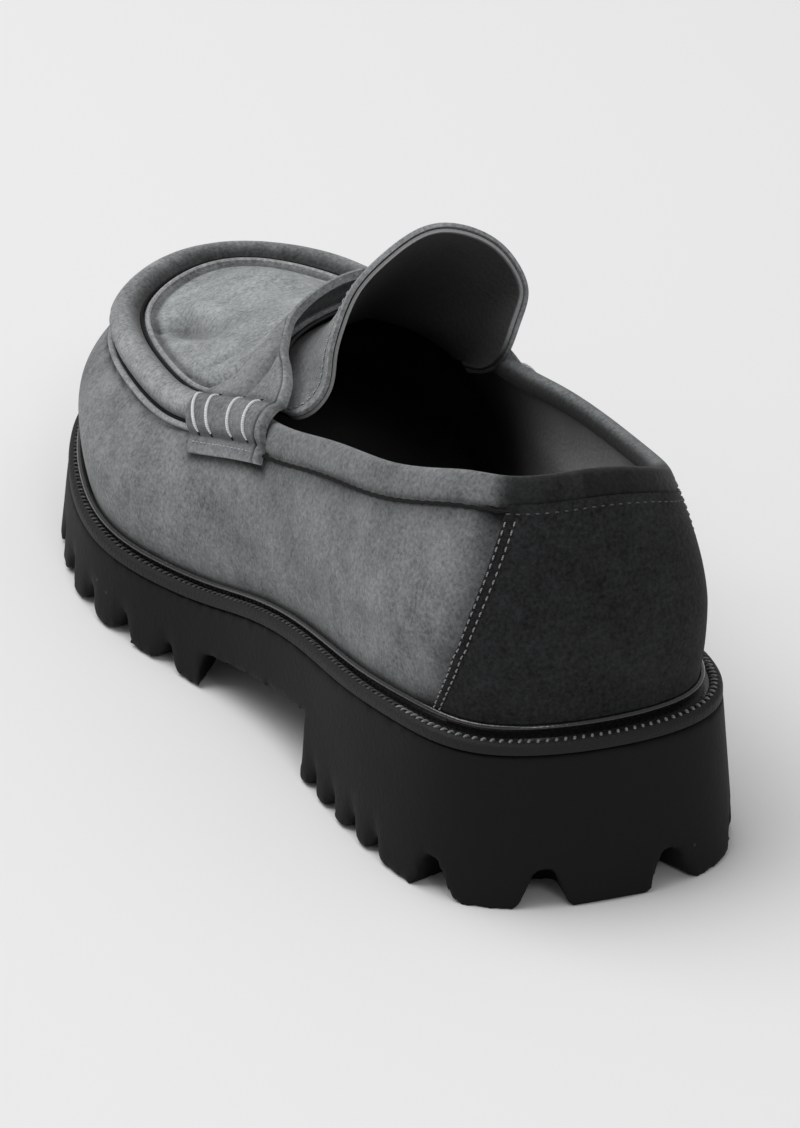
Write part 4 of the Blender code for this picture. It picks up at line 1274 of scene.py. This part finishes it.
def tonguePoint(side, share):       # side from -1 at the inner end to 1, share from the root to the free edge
    side, share = np.broadcast_arrays(np.asarray(side, float), np.asarray(share, float))
    root = tongueRoot(side)
    spread = 1 + tongue["flare"] * np.maximum(-side, 0)
    reach = np.stack([share, share ** spread, share ** tongue["curl"]], -1)
    return root + (tongueEdge(side) - root) * reach


def tongueFrame(side, share):
    step = 0.004
    low = tonguePoint(np.clip(side - step, -1, 1), share)
    alongSide = tonguePoint(np.clip(side + step, -1, 1), share) - low
    alongShare = tonguePoint(side, share + step) - tonguePoint(side, share - step)
    normal = unit(np.cross(alongSide, alongShare))
    facing = math.copysign(1, (normal * (0.5, 0, 0.85)).sum(-1).mean())
    return tonguePoint(side, share), normal * facing


def makeTongue():
    side = np.linspace(-1, 1, tongue["columns"])[None]
    share = (1 - (1 - np.linspace(0.02, 1, tongue["rows"])) ** 1.6)[:, None]
    side, share = np.broadcast_arrays(side, share)
    points, normal = tongueFrame(side, share)
    fromEdge = (1 - share) * tongueLength(side)
    depth, reach = tongue["edgeRound"]
    rounded = depth * np.clip(1 - fromEdge / reach, 0, 1) ** 2
    depth, width = tongue["dent"]
    dent = depth * bell(fromEdge - tongue["stitchInset"], width)
    face = points - normal * (rounded + dent)[..., None]
    shell, faces = closedShell(face, points - normal * tongue["suede"])
    # painted shade by the root under the strap, in the stitch dent and at the inner end in the throat; the
    # raw edge is paler
    shade = tongue["rootShade"] * (1 - ease(*tongue["rootFade"], share))
    for name, middle in (("dentShade", tongue["stitchInset"]), ("edgeShade", 0)):
        strength, width = tongue[name]
        shade = shade + strength * bell(fromEdge - middle, width)
    shade = shade + tongue["innerShade"] * (1 - ease(*tongue["innerFade"], side))
    addPiece("tongue_suede", shell, faces, tongueSuede, ["tongue"],
             np.tile(shade.ravel(), 2))
    inset = share * (1 - tongue["liningInset"] / tongueLength(side))
    points, normal = tongueFrame(side, inset)
    top = tongue["suede"] + tongue["liningGap"]
    shell, faces = closedShell(points - normal * top, points - normal * (top + tongue["lining"]))
    # the lining's raw edge is paler, and fades into the painted shade of the throat at the inner end
    shade = tongue["liningEdge"] * ease(0.9, 0.0, fromEdge) * ease(*tongue["liningFade"], side)
    addPiece("tongue_lining", shell, faces, blackLining, shade=np.tile(shade.ravel(), 2))
    side = np.linspace(-tongue["stitchEnd"], tongue["stitchEnd"], 500)
    path, normal = tongueFrame(side, 1 - tongue["stitchInset"] / tongueLength(side))
    sew("tongue_stitches", [stitchRow(path, normal, tongue["stitchPitch"])], tongue["stitch"], paleThread)


makeSoleUnit()
makeWelt()
makeFootbed()
makeUpper()
makeLining()
makeCounter()
makeBand()
makeSideSeam()
makeRoll()
makeStrap()
makeTongue()
print("shoe made")


# Studio: pale floor, soft overhead light and the camera at the photo's angle
studio = {
    "floorHalf": 12.0, "floorColour": (0.80, 0.80, 0.80),
    "worldColour": (1.0, 1.0, 1.0), "worldStrength": 0.40,
    "keyPlace": (0.55, 0.75, 2.3), "keySize": 2.2, "keyPower": 48.0,
    "backPlace": (-2.2, 0.2, 1.9), "backSize": 0.6, "backPower": 7.5,
    "cameraPlace": (-1.9317, 0.7386, 0.9896), "photoAim": (0.0778, -0.1231, 0.0), "photoLens": 133.64,
    "shoeMiddle": (261.5, 613.0), "zoom": 2.12, "imageSize": (800, 1128), "sensor": 36.0,
}


def makeStudio():
    half = studio["floorHalf"]
    mesh = bpy.data.meshes.new("floor")
    corners = ((-half, -half, 0), (half, -half, 0), (half, half, 0), (-half, half, 0))
    mesh.from_pydata(corners, [], [(0, 1, 2, 3)])
    floor = bpy.data.objects.new("floor", mesh)
    bpy.context.scene.collection.objects.link(floor)
    material = bpy.data.materials.new("floor_paper")
    material.use_nodes = True
    shader = material.node_tree.nodes["Principled BSDF"]
    shader.inputs["Base Color"].default_value = (*studio["floorColour"], 1)
    shader.inputs["Roughness"].default_value = 0.9
    shader.inputs["Specular IOR Level"].default_value = 0.1
    mesh.materials.append(material)
    world = bpy.data.worlds.new("studio")
    world.use_nodes = True
    background = world.node_tree.nodes["Background"]
    background.inputs["Color"].default_value = (*studio["worldColour"], 1)
    background.inputs["Strength"].default_value = studio["worldStrength"]
    bpy.context.scene.world = world
    for name in ("key", "back"):
        lamp = bpy.data.lights.new(name, "AREA")
        lamp.size = studio[name + "Size"]
        lamp.energy = studio[name + "Power"]
        light = bpy.data.objects.new(name, lamp)
        light.location = studio[name + "Place"]
        light.rotation_euler = (-light.location).to_track_quat("-Z", "Y").to_euler()
        bpy.context.scene.collection.objects.link(light)
    bpy.context.scene.view_settings.view_transform = "Standard"


def makeCamera():
    width, height = studio["imageSize"]
    eye = np.array(studio["cameraPlace"])
    forward = unit(np.array(studio["photoAim"]) - eye)
    right = unit(np.cross(forward, (0, 0, 1.0)))
    up = np.cross(right, forward)
    focal = studio["photoLens"] / studio["sensor"] * height
    x, y = studio["shoeMiddle"]
    ray = forward * focal + right * (x - width / 2) - up * (y - height / 2)
    lens = bpy.data.cameras.new("camera")
    lens.lens = studio["photoLens"] * studio["zoom"]
    lens.sensor_width = studio["sensor"]
    lens.clip_end = 100
    camera = bpy.data.objects.new("camera", lens)
    camera.location = eye
    camera.rotation_euler = Vector(ray).to_track_quat("-Z", "Y").to_euler()
    bpy.context.scene.collection.objects.link(camera)
    bpy.context.scene.camera = camera


makeStudio()
makeCamera()

print("studio ready")
